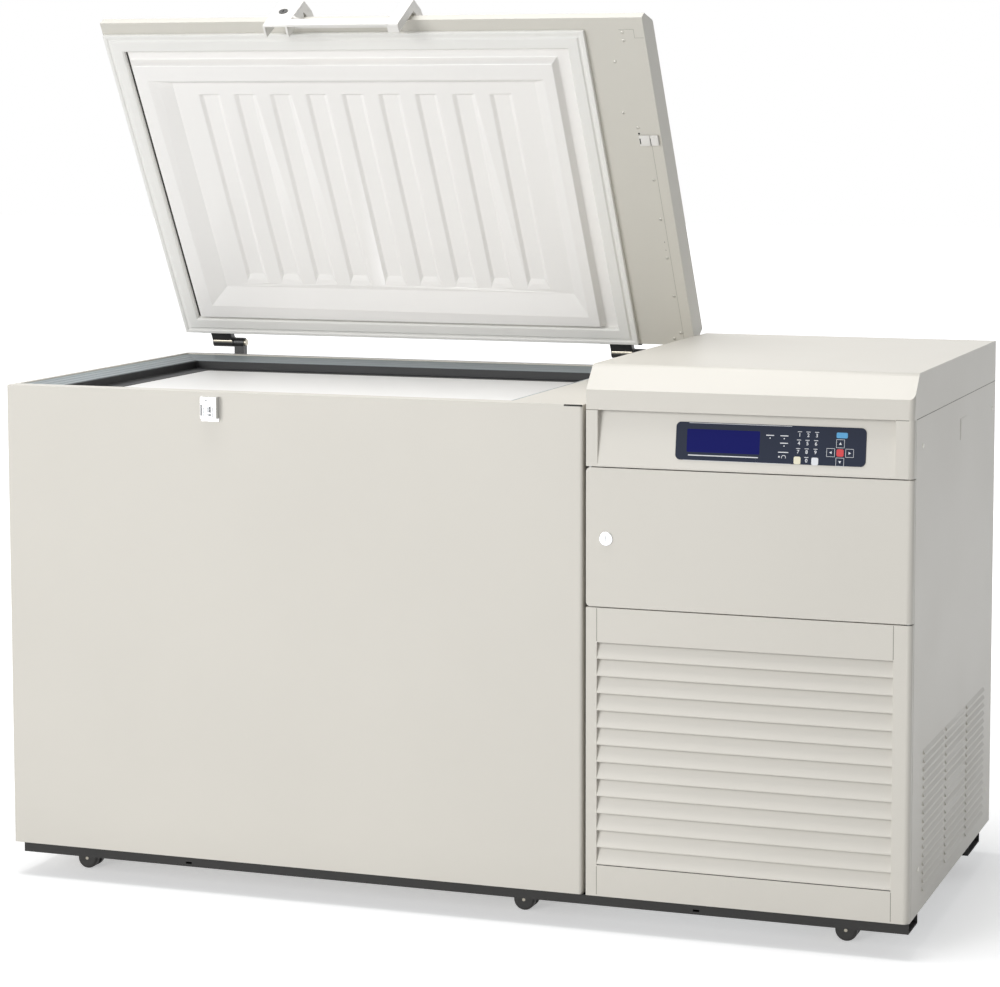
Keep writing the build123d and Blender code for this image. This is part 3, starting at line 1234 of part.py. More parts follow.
def make_caster_fork(x, y):
    """Stem, disc, web between the wheels and the axle."""
    disc_top = RAIL_Z - CASTER_PLATE_T - BODY_GAP
    disc_low = 2 * CASTER_WHEEL_R + 1.2
    wheel_x = x + CASTER_TRAIL
    half_web = CASTER_WEB_T / 2
    fork = rod((x, y, disc_low), (x, y, disc_top), CASTER_HOOD_R)
    fork += rod((x, y, disc_top), (x, y, RAIL_Z - BODY_GAP), CASTER_STEM_R)
    web = along_y([(x - CASTER_HOOD_R + 3, disc_low), (x + CASTER_HOOD_R - 1, disc_low),
                   (wheel_x + 7, CASTER_WHEEL_R), (wheel_x, CASTER_WHEEL_R - 7),
                   (wheel_x - 7, CASTER_WHEEL_R - 3)], y - half_web, y + half_web)
    fork += web
    reach = half_web + CASTER_SIDE_GAP + CASTER_WHEEL_W
    return fork + rod((wheel_x, y - reach, CASTER_WHEEL_R), (wheel_x, y + reach, CASTER_WHEEL_R),
                      CASTER_AXLE_R)


def make_caster_wheels(x, y):
    """Two rounded wheels on one axle."""
    wheel_x = x + CASTER_TRAIL
    wheels = []
    start = CASTER_WEB_T / 2 + CASTER_SIDE_GAP
    for side in (-1, 1):
        near = y + side * start
        far = near + side * CASTER_WHEEL_W
        low, high = min(near, far), max(near, far)
        wheel = rod((wheel_x, low, CASTER_WHEEL_R), (wheel_x, high, CASTER_WHEEL_R), CASTER_WHEEL_R)
        rims = wheel.edges().filter_by(GeomType.CIRCLE).sort_by(Axis.Y)
        outer_rim = rims[-1] if side > 0 else rims[0]
        wheel = fillet(outer_rim, CASTER_WHEEL_ROUND)
        wheel -= rod((wheel_x, low - 1, CASTER_WHEEL_R), (wheel_x, high + 1, CASTER_WHEEL_R),
                     CASTER_AXLE_R + RUNNING)
        wheels.append(wheel)
    return Compound(children=wheels)


def cabinet_parts():
    """Everything that is fixed to the cabinet."""
    parts = {
        "outer_case": make_outer_case(),
        "chest_insulation": make_chest_insulation(),
        "inner_liner": make_inner_liner(),
        "top_frame": make_top_frame(),
        "breaker_strip": make_breaker_strip(),
        "port_plug": make_port_plug(),
        "lid_strike": make_lid_strike(),
        "machine_cover": make_machine_cover(),
        "machine_frame": make_machine_frame(),
        "control_fascia": make_control_fascia(),
        "control_overlay": make_control_overlay(),
        "display_window": make_display_window(),
        "control_board": make_control_board(),
        "side_panel": make_side_panel(),
        "rear_panel": make_rear_panel(),
        "power_inlet": make_power_inlet(),
        "electrical_box": make_electrical_box(),
        "backup_battery": make_backup_battery(),
        "condenser": make_condenser(),
        "filter_guides": make_filter_guides(),
        "fan_shroud": make_fan_shroud(),
        "fan_motor": make_fan_motor(),
        "heat_exchanger": make_heat_exchanger(),
        "refrigerant_pipes": make_refrigerant_pipes(),
        "base_front_rail": make_front_rail(),
        "base_rear_rail": make_rear_rail(),
        "base_cross_members": make_cross_members(),
        "caster_plates": make_caster_plates(),
    }
    for name, x in zip(("compressor_low_stage", "compressor_high_stage"), compressor_xs()):
        parts[name] = make_compressor(x)
    pins = []
    for side, middle in hinge_centres().items():
        parts["hinge_bracket_" + side] = make_hinge_bracket(middle)
        pins.append(make_hinge_pin(middle))
    parts["hinge_pins"] = Compound(children=pins)
    return parts


def moving_parts():
    """Everything that slides, swings or turns, apart from the lid."""
    parts = {
        "inner_lid": make_inner_lid(),
        "front_door": make_front_door(),
        "door_lock": make_door_lock(),
        "front_grille": make_front_grille(),
        "condenser_filter": make_condenser_filter(),
        "fan_blade": make_fan_blade(),
    }
    for number, (x, y) in enumerate(caster_places(), start=1):
        parts["caster_fork_" + str(number)] = make_caster_fork(x, y)
        parts["caster_wheels_" + str(number)] = make_caster_wheels(x, y)
    return parts


def lid_parts():
    """The lid and what it carries, turned up to its resting place."""
    parts = {
        "lid_skin": make_lid_skin(),
        "lid_insulation": make_lid_insulation(),
        "lid_liner": make_lid_liner(),
        "lid_gasket": make_lid_gasket(),
        "lid_handle": make_lid_handle(),
        "lid_lock": make_lid_lock(),
    }
    for side, middle in hinge_centres().items():
        parts["hinge_leaf_" + side] = make_hinge_leaf(middle)
    return {name: open_lid(solid) for name, solid in parts.items()}


def main():
    parts = {**cabinet_parts(), **moving_parts(), **lid_parts()}
    boxes = [solid.bounding_box() for solid in parts.values()]
    low = [min(getattr(box.min, axis) for box in boxes) for axis in "XYZ"]
    high = [max(getattr(box.max, axis) for box in boxes) for axis in "XYZ"]
    shift = Vector(-(low[0] + high[0]) / 2, -(low[1] + high[1]) / 2, -low[2])
    os.makedirs("parts", exist_ok=True)
    for name, solid in parts.items():
        export_step(Pos(shift) * solid, "parts/" + name + ".step")
    print("nodes", len(parts))
    print("size", [round(top - bottom, 2) for top, bottom in zip(high, low)])
    print("shift", [round(value, 4) for value in shift])


if __name__ == "__main__":
    main()
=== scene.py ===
"""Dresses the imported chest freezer: finishes, small fittings, printed control panel, light and camera."""

import json
import logging
import math
from dataclasses import dataclass, field
from enum import Enum
from typing import Sequence

import bmesh
import bpy
from mathutils import Matrix, Vector


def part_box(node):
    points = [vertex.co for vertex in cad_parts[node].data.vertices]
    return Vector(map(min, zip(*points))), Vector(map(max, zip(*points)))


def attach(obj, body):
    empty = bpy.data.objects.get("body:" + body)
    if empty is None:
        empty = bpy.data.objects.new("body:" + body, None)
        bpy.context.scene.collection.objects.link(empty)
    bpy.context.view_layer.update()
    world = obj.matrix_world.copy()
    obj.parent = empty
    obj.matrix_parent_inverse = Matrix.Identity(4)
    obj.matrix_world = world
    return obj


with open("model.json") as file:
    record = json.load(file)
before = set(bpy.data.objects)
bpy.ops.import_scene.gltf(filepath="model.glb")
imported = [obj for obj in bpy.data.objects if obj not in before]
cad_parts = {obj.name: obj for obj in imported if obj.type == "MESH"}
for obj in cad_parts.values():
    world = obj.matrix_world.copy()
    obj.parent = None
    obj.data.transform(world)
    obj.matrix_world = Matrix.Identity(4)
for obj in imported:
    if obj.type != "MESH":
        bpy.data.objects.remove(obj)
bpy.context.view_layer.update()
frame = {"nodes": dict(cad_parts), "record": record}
LOG = logging.getLogger("freezer")

Point = tuple[float, float, float]
Colour = tuple[float, float, float]


def mm(*values: float) -> tuple[float, ...]:
    """Millimetres as metres."""
    return tuple(value / 1000.0 for value in values)


def linear(colour: Colour) -> tuple[float, float, float, float]:
    """Display colour from 0 to 255 as the linear colour that a shader socket takes.

    Args:
        colour: red, green and blue as they look on a screen.

    Returns:
        Linear red, green, blue and an alpha of 1.
    """
    parts = []
    for value in colour:
        share = value / 255.0
        parts.append(share / 12.92 if share <= 0.04045 else ((share + 0.055) / 1.055) ** 2.4)
    return (parts[0], parts[1], parts[2], 1.0)


# Where things are
@dataclass
class Datum:
    """Turns sizes counted from the chest's lower left front corner into places in the frame."""

    hinge_y: float = 771.0
    hinge_z: float = 964.0
    open_deg: float = 60.0
    body_z: float = 65.0
    corner: Vector = field(default_factory=lambda: Vector(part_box("outer_case")[0]))

    def at(self, x: float, y: float, z: float) -> Vector:
        """Point in metres from millimetres from the left side, from the front face and above the floor."""
        return self.corner + Vector(mm(x, y, z - self.body_z))

    def lid_turn(self) -> Matrix:
        """Matrix that carries a piece made for the closed lid up to the open lid.

        Returns:
            A turn about the hinge line.
        """
        hinge = self.at(0.0, self.hinge_y, self.hinge_z)
        turn = Matrix.Rotation(math.radians(-self.open_deg), 4, "X")
        return Matrix.Translation(hinge) @ turn @ Matrix.Translation(-hinge)


# Shader node groups
class Group:
    """Builds one shader node group with named sockets."""

    def __init__(self, name: str, inputs: Sequence[tuple[str, str, object]],
                 outputs: Sequence[tuple[str, str]]) -> None:
        """Makes the group's sockets.

        Args:
            name: name of the effect.
            inputs: name, socket type and default of each input.
            outputs: name and socket type of each output.
        """
        self.tree = bpy.data.node_groups.new(name, "ShaderNodeTree")
        for label, kind, default in inputs:
            socket = self.tree.interface.new_socket(name=label, in_out="INPUT", socket_type=kind)
            socket.default_value = default
        for label, kind in outputs:
            self.tree.interface.new_socket(name=label, in_out="OUTPUT", socket_type=kind)
        self.start = self.tree.nodes.new("NodeGroupInput")
        self.end = self.tree.nodes.new("NodeGroupOutput")

    def node(self, kind: str, **settings: object) -> bpy.types.Node:
        """New node with its settings.

        Args:
            kind: Blender's name of the node's type.
            settings: the properties to set on it.

        Returns:
            The new node.
        """
        made = self.tree.nodes.new(kind)
        for key, value in settings.items():
            setattr(made, key, value)
        return made

    def link(self, source: bpy.types.NodeSocket, target: bpy.types.NodeSocket) -> None:
        """Joins two sockets."""
        self.tree.links.new(source, target)

    def place(self) -> bpy.types.NodeSocket:
        """Position on the piece, in metres, that stays with it when it moves."""
        return self.node("ShaderNodeTexCoord").outputs["Object"]

    def noise(self, where: bpy.types.NodeSocket, scale: object, detail: float = 3.0) -> bpy.types.NodeSocket:
        """Noise from 0 to 1.

        Args:
            where: socket with the position.
            scale: number, or a socket that holds it.
            detail: how many finer layers it has.

        Returns:
            The noise socket.
        """
        made = self.node("ShaderNodeTexNoise")
        made.inputs["Detail"].default_value = detail
        self.link(where, made.inputs["Vector"])
        if isinstance(scale, (int, float)):
            made.inputs["Scale"].default_value = scale
        else:
            self.link(scale, made.inputs["Scale"])
        return made.outputs["Fac"]

    def sum(self, operation: str, first: object, second: object,
            third: object = None) -> bpy.types.NodeSocket:
        """One step of arithmetic on sockets or numbers.

        Args:
            operation: kind of the step, as the math node names it.
            first: first number, or a socket that holds it.
            second: second number or socket.
            third: third number or socket, for the steps that take three.

        Returns:
            The socket with the result.
        """
        made = self.node("ShaderNodeMath", operation=operation)
        for index, value in enumerate((first, second, third)):
            if value is None:
                continue
            if isinstance(value, (int, float)):
                made.inputs[index].default_value = value
            else:
                self.link(value, made.inputs[index])
        return made.outputs[0]

    def ramp(self, value: bpy.types.NodeSocket, low: object, high: object, bottom: float = 0.0,
             top: float = 1.0) -> bpy.types.NodeSocket:
        """Value carried from one range to another, and held at its ends.

        Args:
            value: socket with the value.
            low: where the first range starts, a number or a socket.
            high: where the first range ends, a number or a socket.
            bottom: what the start becomes.
            top: what the end becomes.

        Returns:
            The socket with the carried value.
        """
        made = self.node("ShaderNodeMapRange")
        self.link(value, made.inputs["Value"])
        for label, number in (("From Min", low), ("From Max", high), ("To Min", bottom), ("To Max", top)):
            if isinstance(number, (int, float)):
                made.inputs[label].default_value = number
            else:
                self.link(number, made.inputs[label])
        return made.outputs["Result"]

    def blend(self, share: bpy.types.NodeSocket, first: bpy.types.NodeSocket,
              second: bpy.types.NodeSocket) -> bpy.types.NodeSocket:
        """Colour between two colours.

        Args:
            share: socket with the second colour's share.
            first: socket with the first colour.
            second: socket with the second colour.

        Returns:
            The socket with the mixed colour.
        """
        made = self.node("ShaderNodeMix", data_type="RGBA")
        self.link(share, made.inputs["Factor"])
        self.link(first, made.inputs["A"])
        self.link(second, made.inputs["B"])
        return made.outputs["Result"]


# Depth of the finest relief in metres, and how much light a groove between two rows keeps
RELIEF_DEPTH = 0.0006
GROOVE_LIGHT = 0.12
FLOAT = "NodeSocketFloat"
COLOUR = "NodeSocketColor"


def make_surface_group() -> bpy.types.NodeTree:
    """Fine unevenness of a coating: its height and how much it scatters gloss.

    Returns:
        The group's node tree.
    """
    group = Group("coating_texture",
                  [("Grain Scale", FLOAT, 600.0), ("Gloss", FLOAT, 0.4), ("Gloss Spread", FLOAT, 0.1)],
                  [("Height", FLOAT), ("Roughness", FLOAT)])
    where = group.place()
    fine = group.noise(where, group.start.outputs["Grain Scale"], 2.0)
    group.link(fine, group.end.inputs["Height"])
    smear = group.noise(where, 6.0, 4.0)
    spread = group.sum("MULTIPLY", group.sum("SUBTRACT", smear, 0.5), group.start.outputs["Gloss Spread"])
    group.link(group.sum("ADD", spread, group.start.outputs["Gloss"]), group.end.inputs["Roughness"])
    return group.tree


def make_tone_group() -> bpy.types.NodeTree:
    """Slow change of tone over a large panel, and a trace of floor dust low down.

    Returns:
        The group's node tree.
    """
    group = Group("panel_tone",
                  [("Colour", COLOUR, (0.5, 0.5, 0.5, 1)), ("Darker", COLOUR, (0.4, 0.4, 0.4, 1)),
                   ("Dust", COLOUR, (0.3, 0.28, 0.25, 1)), ("Dust Top", FLOAT, 0.16),
                   ("Dust Amount", FLOAT, 0.12), ("Patch Scale", FLOAT, 2.5)],
                  [("Colour", COLOUR)])
    where = group.place()
    patches = group.ramp(group.noise(where, group.start.outputs["Patch Scale"], 4.0), 0.35, 0.75)
    toned = group.blend(patches, group.start.outputs["Colour"], group.start.outputs["Darker"])
    split = group.node("ShaderNodeSeparateXYZ")
    group.link(where, split.inputs[0])
    ragged = group.sum("MULTIPLY_ADD", group.noise(where, 14.0, 5.0), 0.06, split.outputs["Z"])
    low = group.ramp(ragged, 0.05, group.start.outputs["Dust Top"], 1.0, 0.0)
    share = group.sum("MULTIPLY", low, group.start.outputs["Dust Amount"])
    group.link(group.blend(share, toned, group.start.outputs["Dust"]), group.end.inputs["Colour"])
    return group.tree


def make_brush_group() -> bpy.types.NodeTree:
    """Fine parallel scratches of rolled or brushed metal.

    Returns:
        The group's node tree.
    """
    group = Group("rolled_metal",
                  [("Stretch", FLOAT, 40.0), ("Gloss", FLOAT, 0.3), ("Gloss Spread", FLOAT, 0.2)],
                  [("Height", FLOAT), ("Roughness", FLOAT)])
    where = group.place()
    squeeze = group.node("ShaderNodeVectorMath", operation="MULTIPLY")
    squeeze.inputs[1].default_value = (0.04, 1.0, 1.0)
    group.link(where, squeeze.inputs[0])
    scale = group.sum("MULTIPLY", group.start.outputs["Stretch"], 20.0)
    lines = group.noise(squeeze.outputs[0], scale, 3.0)
    group.link(lines, group.end.inputs["Height"])
    spread = group.sum("MULTIPLY", group.sum("SUBTRACT", lines, 0.5), group.start.outputs["Gloss Spread"])
    group.link(group.sum("ADD", spread, group.start.outputs["Gloss"]), group.end.inputs["Roughness"])
    return group.tree


def make_rows_group() -> bpy.types.NodeTree:
    """Even rows across X and across Z, for fins and for woven mesh.

    Returns:
        The group's node tree.
    """
    group = Group("even_rows", [("Pitch X", FLOAT, 0.002), ("Pitch Z", FLOAT, 0.002)],
                  [("Rows X", FLOAT), ("Weave", FLOAT)])
    split = group.node("ShaderNodeSeparateXYZ")
    group.link(group.place(), split.inputs[0])
    waves = []
    for axis, pitch in (("X", "Pitch X"), ("Z", "Pitch Z")):
        turns = group.sum("DIVIDE", split.outputs[axis], group.start.outputs[pitch])
        wave = group.sum("SINE", group.sum("MULTIPLY", turns, math.tau), 0.0)
        waves.append(group.sum("MULTIPLY_ADD", wave, 0.5, 0.5))
    group.link(waves[0], group.end.inputs["Rows X"])
    group.link(group.sum("MAXIMUM", waves[0], waves[1]), group.end.inputs["Weave"])
    return group.tree


@dataclass(frozen=True)
class Effects:
    """The shared effects, made once."""

    surface: bpy.types.NodeTree
    tone: bpy.types.NodeTree
    brush: bpy.types.NodeTree
    rows: bpy.types.NodeTree

    @classmethod
    def make(cls) -> "Effects":
        """Builds every group."""
        return cls(make_surface_group(), make_tone_group(), make_brush_group(), make_rows_group())


class Relief(Enum):
    """What gives a finish its fine relief."""

    COATING = "coating"
    ROLLED = "rolled"
    FINS = "fins"
    MESH = "mesh"


@dataclass(frozen=True)
class Finish:
    """One surface finish, in display colours and real sizes."""

    name: str
    colour: Colour
    roughness: float = 0.45
    metallic: float = 0.0
    coat: float = 0.0
    grain: float = 600.0
    bump: float = 0.05
    spread: float = 0.1
    drift: float = 0.03
    dust: float = 0.0
    relief: Relief = Relief.COATING
    pitch: float = 0.002
    specular: float = 0.5
    glow: float = 0.0

    def dress(self, effects: Effects) -> bpy.types.Material:
        """Builds the material.

        Args:
            effects: the shared node groups.

        Returns:
            The new material.
        """
        material = bpy.data.materials.new(self.name)
        material.use_nodes = True
        tree = material.node_tree
        shader = tree.nodes["Principled BSDF"]
        shader.inputs["Metallic"].default_value = self.metallic
        shader.inputs["Coat Weight"].default_value = self.coat
        shader.inputs["Specular IOR Level"].default_value = self.specular
        tone = tree.nodes.new("ShaderNodeGroup")
        tone.node_tree = effects.tone
        base = linear(self.colour)
        tone.inputs["Colour"].default_value = base
        tone.inputs["Darker"].default_value = tuple(part * (1.0 - self.drift) for part in base[:3]) + (1.0,)
        tone.inputs["Dust Amount"].default_value = self.dust
        colour = tone.outputs["Colour"]
        if self.relief in (Relief.COATING, Relief.ROLLED):
            texture = tree.nodes.new("ShaderNodeGroup")
            if self.relief is Relief.COATING:
                texture.node_tree = effects.surface
                texture.inputs["Grain Scale"].default_value = self.grain
            else:
                texture.node_tree = effects.brush
            texture.inputs["Gloss"].default_value = self.roughness
            texture.inputs["Gloss Spread"].default_value = self.spread
            tree.links.new(texture.outputs["Roughness"], shader.inputs["Roughness"])
            height = texture.outputs["Height"]
        else:
            shader.inputs["Roughness"].default_value = self.roughness
            rows = tree.nodes.new("ShaderNodeGroup")
            rows.node_tree = effects.rows
            rows.inputs["Pitch X"].default_value = self.pitch
            rows.inputs["Pitch Z"].default_value = self.pitch
            height = rows.outputs["Rows X"] if self.relief is Relief.FINS else rows.outputs["Weave"]
            shade = tree.nodes.new("ShaderNodeMix")
            shade.data_type = "RGBA"
            tree.links.new(height, shade.inputs["Factor"])
            shade.inputs["A"].default_value = tuple(part * GROOVE_LIGHT for part in base[:3]) + (1.0,)
            tree.links.new(colour, shade.inputs["B"])
            colour = shade.outputs["Result"]
        tree.links.new(colour, shader.inputs["Base Color"])
        bump = tree.nodes.new("ShaderNodeBump")
        bump.inputs["Strength"].default_value = self.bump
        bump.inputs["Distance"].default_value = RELIEF_DEPTH
        tree.links.new(height, bump.inputs["Height"])
        tree.links.new(bump.outputs["Normal"], shader.inputs["Normal"])
        if self.glow:
            tree.links.new(colour, shader.inputs["Emission Color"])
            shader.inputs["Emission Strength"].default_value = self.glow
        return material


FINISHES = (
    Finish("cabinet_paint", (214, 210, 201), roughness=0.42, bump=0.06, grain=520.0, drift=0.025, dust=0.05),
    Finish("lid_paint", (214, 211, 202), roughness=0.42, bump=0.06, grain=520.0, drift=0.03),
    Finish("foam", (226, 214, 178), roughness=0.9, bump=0.5, grain=260.0, drift=0.1),
    Finish("liner_white", (248, 246, 243), roughness=0.33, bump=0.03, grain=200.0, drift=0.012, coat=0.15),
    Finish("inner_white", (243, 242, 240), roughness=0.45, bump=0.08, grain=180.0, drift=0.02),
    Finish("frame_grey", (150, 158, 161), roughness=0.45, bump=0.05, grain=700.0, drift=0.06),
    Finish("black_plastic", (36, 37, 38), roughness=0.5, bump=0.12, grain=900.0, drift=0.15),
    Finish("seal_rubber", (58, 58, 60), roughness=0.75, bump=0.2, grain=500.0, drift=0.2),
    Finish("gasket_rubber", (240, 239, 235), roughness=0.55, bump=0.08, grain=420.0, drift=0.03),
    Finish("chrome_plate", (214, 215, 216), roughness=0.14, metallic=1.0, bump=0.02, grain=300.0,
           spread=0.08),
    Finish("galvanised", (168, 171, 172), roughness=0.42, metallic=0.75, bump=0.1,
           relief=Relief.ROLLED, drift=0.15),
    Finish("overlay", (40, 46, 62), roughness=0.5, bump=0.06, grain=1400.0, drift=0.03, specular=0.12),
    Finish("display", (26, 29, 94), roughness=0.55, bump=0.0, drift=0.05, specular=0.04, glow=0.1),
    Finish("circuit_board", (30, 112, 66), roughness=0.4, bump=0.3, grain=300.0, drift=0.3),
    Finish("fin_aluminium", (206, 208, 210), roughness=0.35, metallic=0.9, bump=0.9,
           relief=Relief.FINS, pitch=0.0024),
    Finish("black_steel", (42, 42, 43), roughness=0.4, bump=0.1, grain=500.0, drift=0.2, coat=0.1),
    Finish("copper", (196, 122, 84), roughness=0.3, metallic=1.0, bump=0.03, grain=200.0, drift=0.25),
    Finish("base_steel", (44, 44, 44), specular=0.25, roughness=0.6, bump=0.08, grain=420.0,
           drift=0.12, dust=0.05),
    Finish("zinc_steel", (186, 180, 166), roughness=0.32, metallic=0.9, bump=0.06,
           relief=Relief.ROLLED, drift=0.1),
    Finish("handle_white", (234, 232, 228), roughness=0.3, bump=0.04, grain=700.0, drift=0.015, coat=0.2),
    Finish("filter_plastic", (64, 64, 66), roughness=0.7, bump=0.9, relief=Relief.MESH, pitch=0.0022),
    Finish("fan_plastic", (54, 54, 55), roughness=0.45, bump=0.1, grain=800.0, drift=0.15),
    Finish("wheel_plastic", (38, 38, 38), roughness=0.5, bump=0.12, grain=600.0, drift=0.15, dust=0.06),
    Finish("lock_metal", (96, 96, 95), roughness=0.35, metallic=0.8, bump=0.05, grain=300.0, drift=0.1),
    Finish("panel_seam", (128, 125, 116), roughness=0.7, bump=0.05, grain=500.0, drift=0.05),
    Finish("lid_seam", (176, 176, 166), roughness=0.5, bump=0.05, grain=520.0),
    Finish("print_white", (226, 228, 232), roughness=0.5, bump=0.02, drift=0.02),
    Finish("print_red", (206, 36, 44), roughness=0.45, bump=0.02, drift=0.05),
    Finish("print_blue", (72, 158, 208), roughness=0.45, bump=0.02, drift=0.03),
    Finish("print_cream", (232, 226, 200), roughness=0.45, bump=0.02, drift=0.03),
    # Dark colour of seams and parting lines, and painted shade inside holes, slots, a notch and the seal's
    # gap
    Finish("dark_joint_and_painted_shade", (44, 43, 40), roughness=0.8, bump=0.1, grain=500.0, drift=0.1),
    Finish("screw_zinc", (206, 204, 196), roughness=0.35, metallic=0.6, bump=0.05,
           relief=Relief.ROLLED, drift=0.1),
)

NODE_FINISH = {
    "lid_skin": "lid_paint",
    "inner_lid": "inner_white",
    "hinge_leaf_left": "black_steel",
    "hinge_leaf_right": "black_steel",
    "lid_lock": "lock_metal",
}


@dataclass
class Wardrobe:
    """Every finish as a material, and what it is put on."""

    effects: Effects
    materials: dict[str, bpy.types.Material] = field(default_factory=dict)

    def fill(self) -> None:
        """Builds all materials."""
        for finish in FINISHES:
            self.materials[finish.name] = finish.dress(self.effects)
        LOG.info("finishes: %d", len(self.materials))

    def dress_nodes(self) -> None:
        """Gives every CAD node the finish of its slot, or its own."""
        slots = {entry["node"]: entry["material_slot"] for entry in frame["record"]["subparts"]}
        for name, node in frame["nodes"].items():
            material = self.materials[NODE_FINISH.get(name, slots[name])]
            if not node.material_slots:
                node.data.materials.append(material)
            for slot in node.material_slots:
                slot.material = material
        LOG.info("nodes dressed: %d", len(frame["nodes"]))


# Mesh making, where edges flatter than this angle look smooth
SMOOTH_DEG = 35.0


class Maker:
    """Collects shapes into one mesh object."""

    def __init__(self) -> None:
        """Starts an empty mesh."""
        self.mesh = bmesh.new()

    def slab(self, size: Point, place: Matrix, round_by: float = 0.0, steps: int = 3) -> None:
        """Box with all its edges rounded.

        Args:
            size: its three sides in metres.
            place: where its middle goes.
            round_by: radius of its edges in metres.
            steps: faces across each rounding.
        """
        made = bmesh.ops.create_cube(self.mesh, size=1.0)
        bmesh.ops.scale(self.mesh, vec=size, verts=made["verts"])
        verts = made["verts"]
        if round_by > 0.0:
            edges = list({edge for vert in verts for edge in vert.link_edges})
            cut = bmesh.ops.bevel(self.mesh, geom=edges, offset=round_by, segments=steps, profile=0.5,
                                  affect="EDGES", clamp_overlap=True)
            rounded = {vert for face in cut["faces"] for vert in face.verts}
            verts = list(rounded | {vert for vert in verts if vert.is_valid})
        bmesh.ops.transform(self.mesh, matrix=place, verts=verts)

    def lathe(self, profile: Sequence[tuple[float, float]], place: Matrix, sides: int = 24) -> None:
        """Turned shape about Z from (radius, height) points.

        Args:
            profile: points from the axis outwards and down, in metres.
            place: where its base goes.
            sides: how many faces go round it.
        """
        rings = []
        for radius, height in profile:
            if radius < 1e-7:
                rings.append([self.mesh.verts.new((0.0, 0.0, height))])
                continue
            ring = []
            for index in range(sides):
                turn = math.tau * index / sides
                ring.append(self.mesh.verts.new((radius * math.cos(turn), radius * math.sin(turn), height)))
            rings.append(ring)
        for inner, outer in zip(rings, rings[1:]):
            for index in range(sides):
                after = (index + 1) % sides
                if len(inner) == 1:
                    self.mesh.faces.new((inner[0], outer[index], outer[after]))
                elif len(outer) == 1:
                    self.mesh.faces.new((inner[index], outer[0], inner[after]))
                else:
                    self.mesh.faces.new((inner[index], outer[index], outer[after], inner[after]))
        bmesh.ops.transform(self.mesh, matrix=place, verts=[vert for ring in rings for vert in ring])

    def plate(self, outline: Sequence[tuple[float, float]], thick: float, place: Matrix) -> None:
        """Flat plate from an outline in its own XY plane.

        Args:
            outline: its corners in metres, one after the other.
            thick: how far it stands above the plane, in metres.
            place: where the outline's own origin goes.
        """
        low = [self.mesh.verts.new((x, y, 0.0)) for x, y in outline]
        high = [self.mesh.verts.new((x, y, thick)) for x, y in outline]
        self.mesh.faces.new(list(reversed(low)))
        self.mesh.faces.new(high)
        for index in range(len(low)):
            after = (index + 1) % len(low)
            self.mesh.faces.new((low[index], low[after], high[after], high[index]))
        bmesh.ops.transform(self.mesh, matrix=place, verts=low + high)

    def finish(self, name: str, material: bpy.types.Material, body: str, slot: str,
               turn: Matrix | None = None) -> None:
        """Makes the object, gives it its finish and lets it ride on its body.

        Args:
            name: name of the piece.
            material: its finish.
            body: the CAD body that it moves with.
            slot: the record's material slot that it belongs to; not used.
            turn: matrix put on the whole mesh.
        """
        if turn is not None:
            bmesh.ops.transform(self.mesh, matrix=turn, verts=self.mesh.verts)
        bmesh.ops.recalc_face_normals(self.mesh, faces=self.mesh.faces)
        data = bpy.data.meshes.new(name)
        self.mesh.to_mesh(data)
        self.mesh.free()
        data.shade_smooth()
        data.set_sharp_from_angle(angle=math.radians(SMOOTH_DEG))
        data.materials.append(material)
        made = bpy.data.objects.new(name, data)
        bpy.context.scene.collection.objects.link(made)
        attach(made, body)
        LOG.info("piece %s on %s", name, body)


def facing(direction: Point) -> Matrix:
    """Turns a shape that stands on Z so that it stands on a direction."""
    return Vector(direction).to_track_quat("Z", "Y").to_matrix().to_4x4()


def rounded_outline(width: float, height: float, radius: float, steps: int = 5) -> list[tuple[float, float]]:
    """Outline of a rectangle with round corners about its middle.

    Args:
        width: its whole width.
        height: its whole height.
        radius: radius of its corners.
        steps: how many straight pieces make one corner.

    Returns:
        The outline's points, against the clock.
    """
    points = []
    for cx, cy, start in ((1, 1, 0), (-1, 1, 90), (-1, -1, 180), (1, -1, 270)):
        for index in range(steps + 1):
            turn = math.radians(start + 90.0 * index / steps)
            points.append((cx * (width / 2 - radius) + radius * math.cos(turn),
                           cy * (height / 2 - radius) + radius * math.sin(turn)))
    return points


@dataclass
class ScrewHead:
    """Pan head with a cross recess."""

    radius: float = 0.0034
    height: float = 0.0016
    recess: float = 0.0009

    def add(self, maker: Maker, place: Matrix) -> None:
        """Adds one head that stands on the given place.

        Args:
            maker: mesh that takes it.
            place: middle of its seat, with Z out of the surface.
        """
        dome = [(0.0, self.height - self.recess), (self.radius * 0.3, self.height - self.recess),
                (self.radius * 0.36, self.height), (self.radius * 0.7, self.height * 0.86),
                (self.radius * 0.92, self.height * 0.5), (self.radius, 0.0)]
        maker.lathe(dome, place, 20)
        for turn in (0.0, 90.0):
            slot = Matrix.Rotation(math.radians(turn), 4, "Z")
            lift = Matrix.Translation((0.0, 0.0, self.height - self.recess * 0.35))
            maker.slab((self.radius * 1.1, self.radius * 0.16, self.recess * 0.3), place @ slot @ lift)


# Parts of the freezer
@dataclass
class Dressing:
    """Where one sub-assembly's small pieces are counted from, and their finishes."""

    datum: Datum
    wardrobe: Wardrobe

    def hang(self, maker: Maker, name: str, finish: str, slot: str, body: str = "cabinet",
             turn: Matrix | None = None) -> None:
        """Turns the collected shapes into one piece in its finish.

        Args:
            maker: mesh with the shapes.
            name: name of the piece.
            finish: name of its finish.
            slot: the record's material slot that it belongs to; handed to Maker.finish, which does not use
                it.
            body: the CAD body that it moves with.
            turn: matrix put on the whole mesh.
        """
        maker.finish(name, self.wardrobe.materials[finish], body, slot, turn)


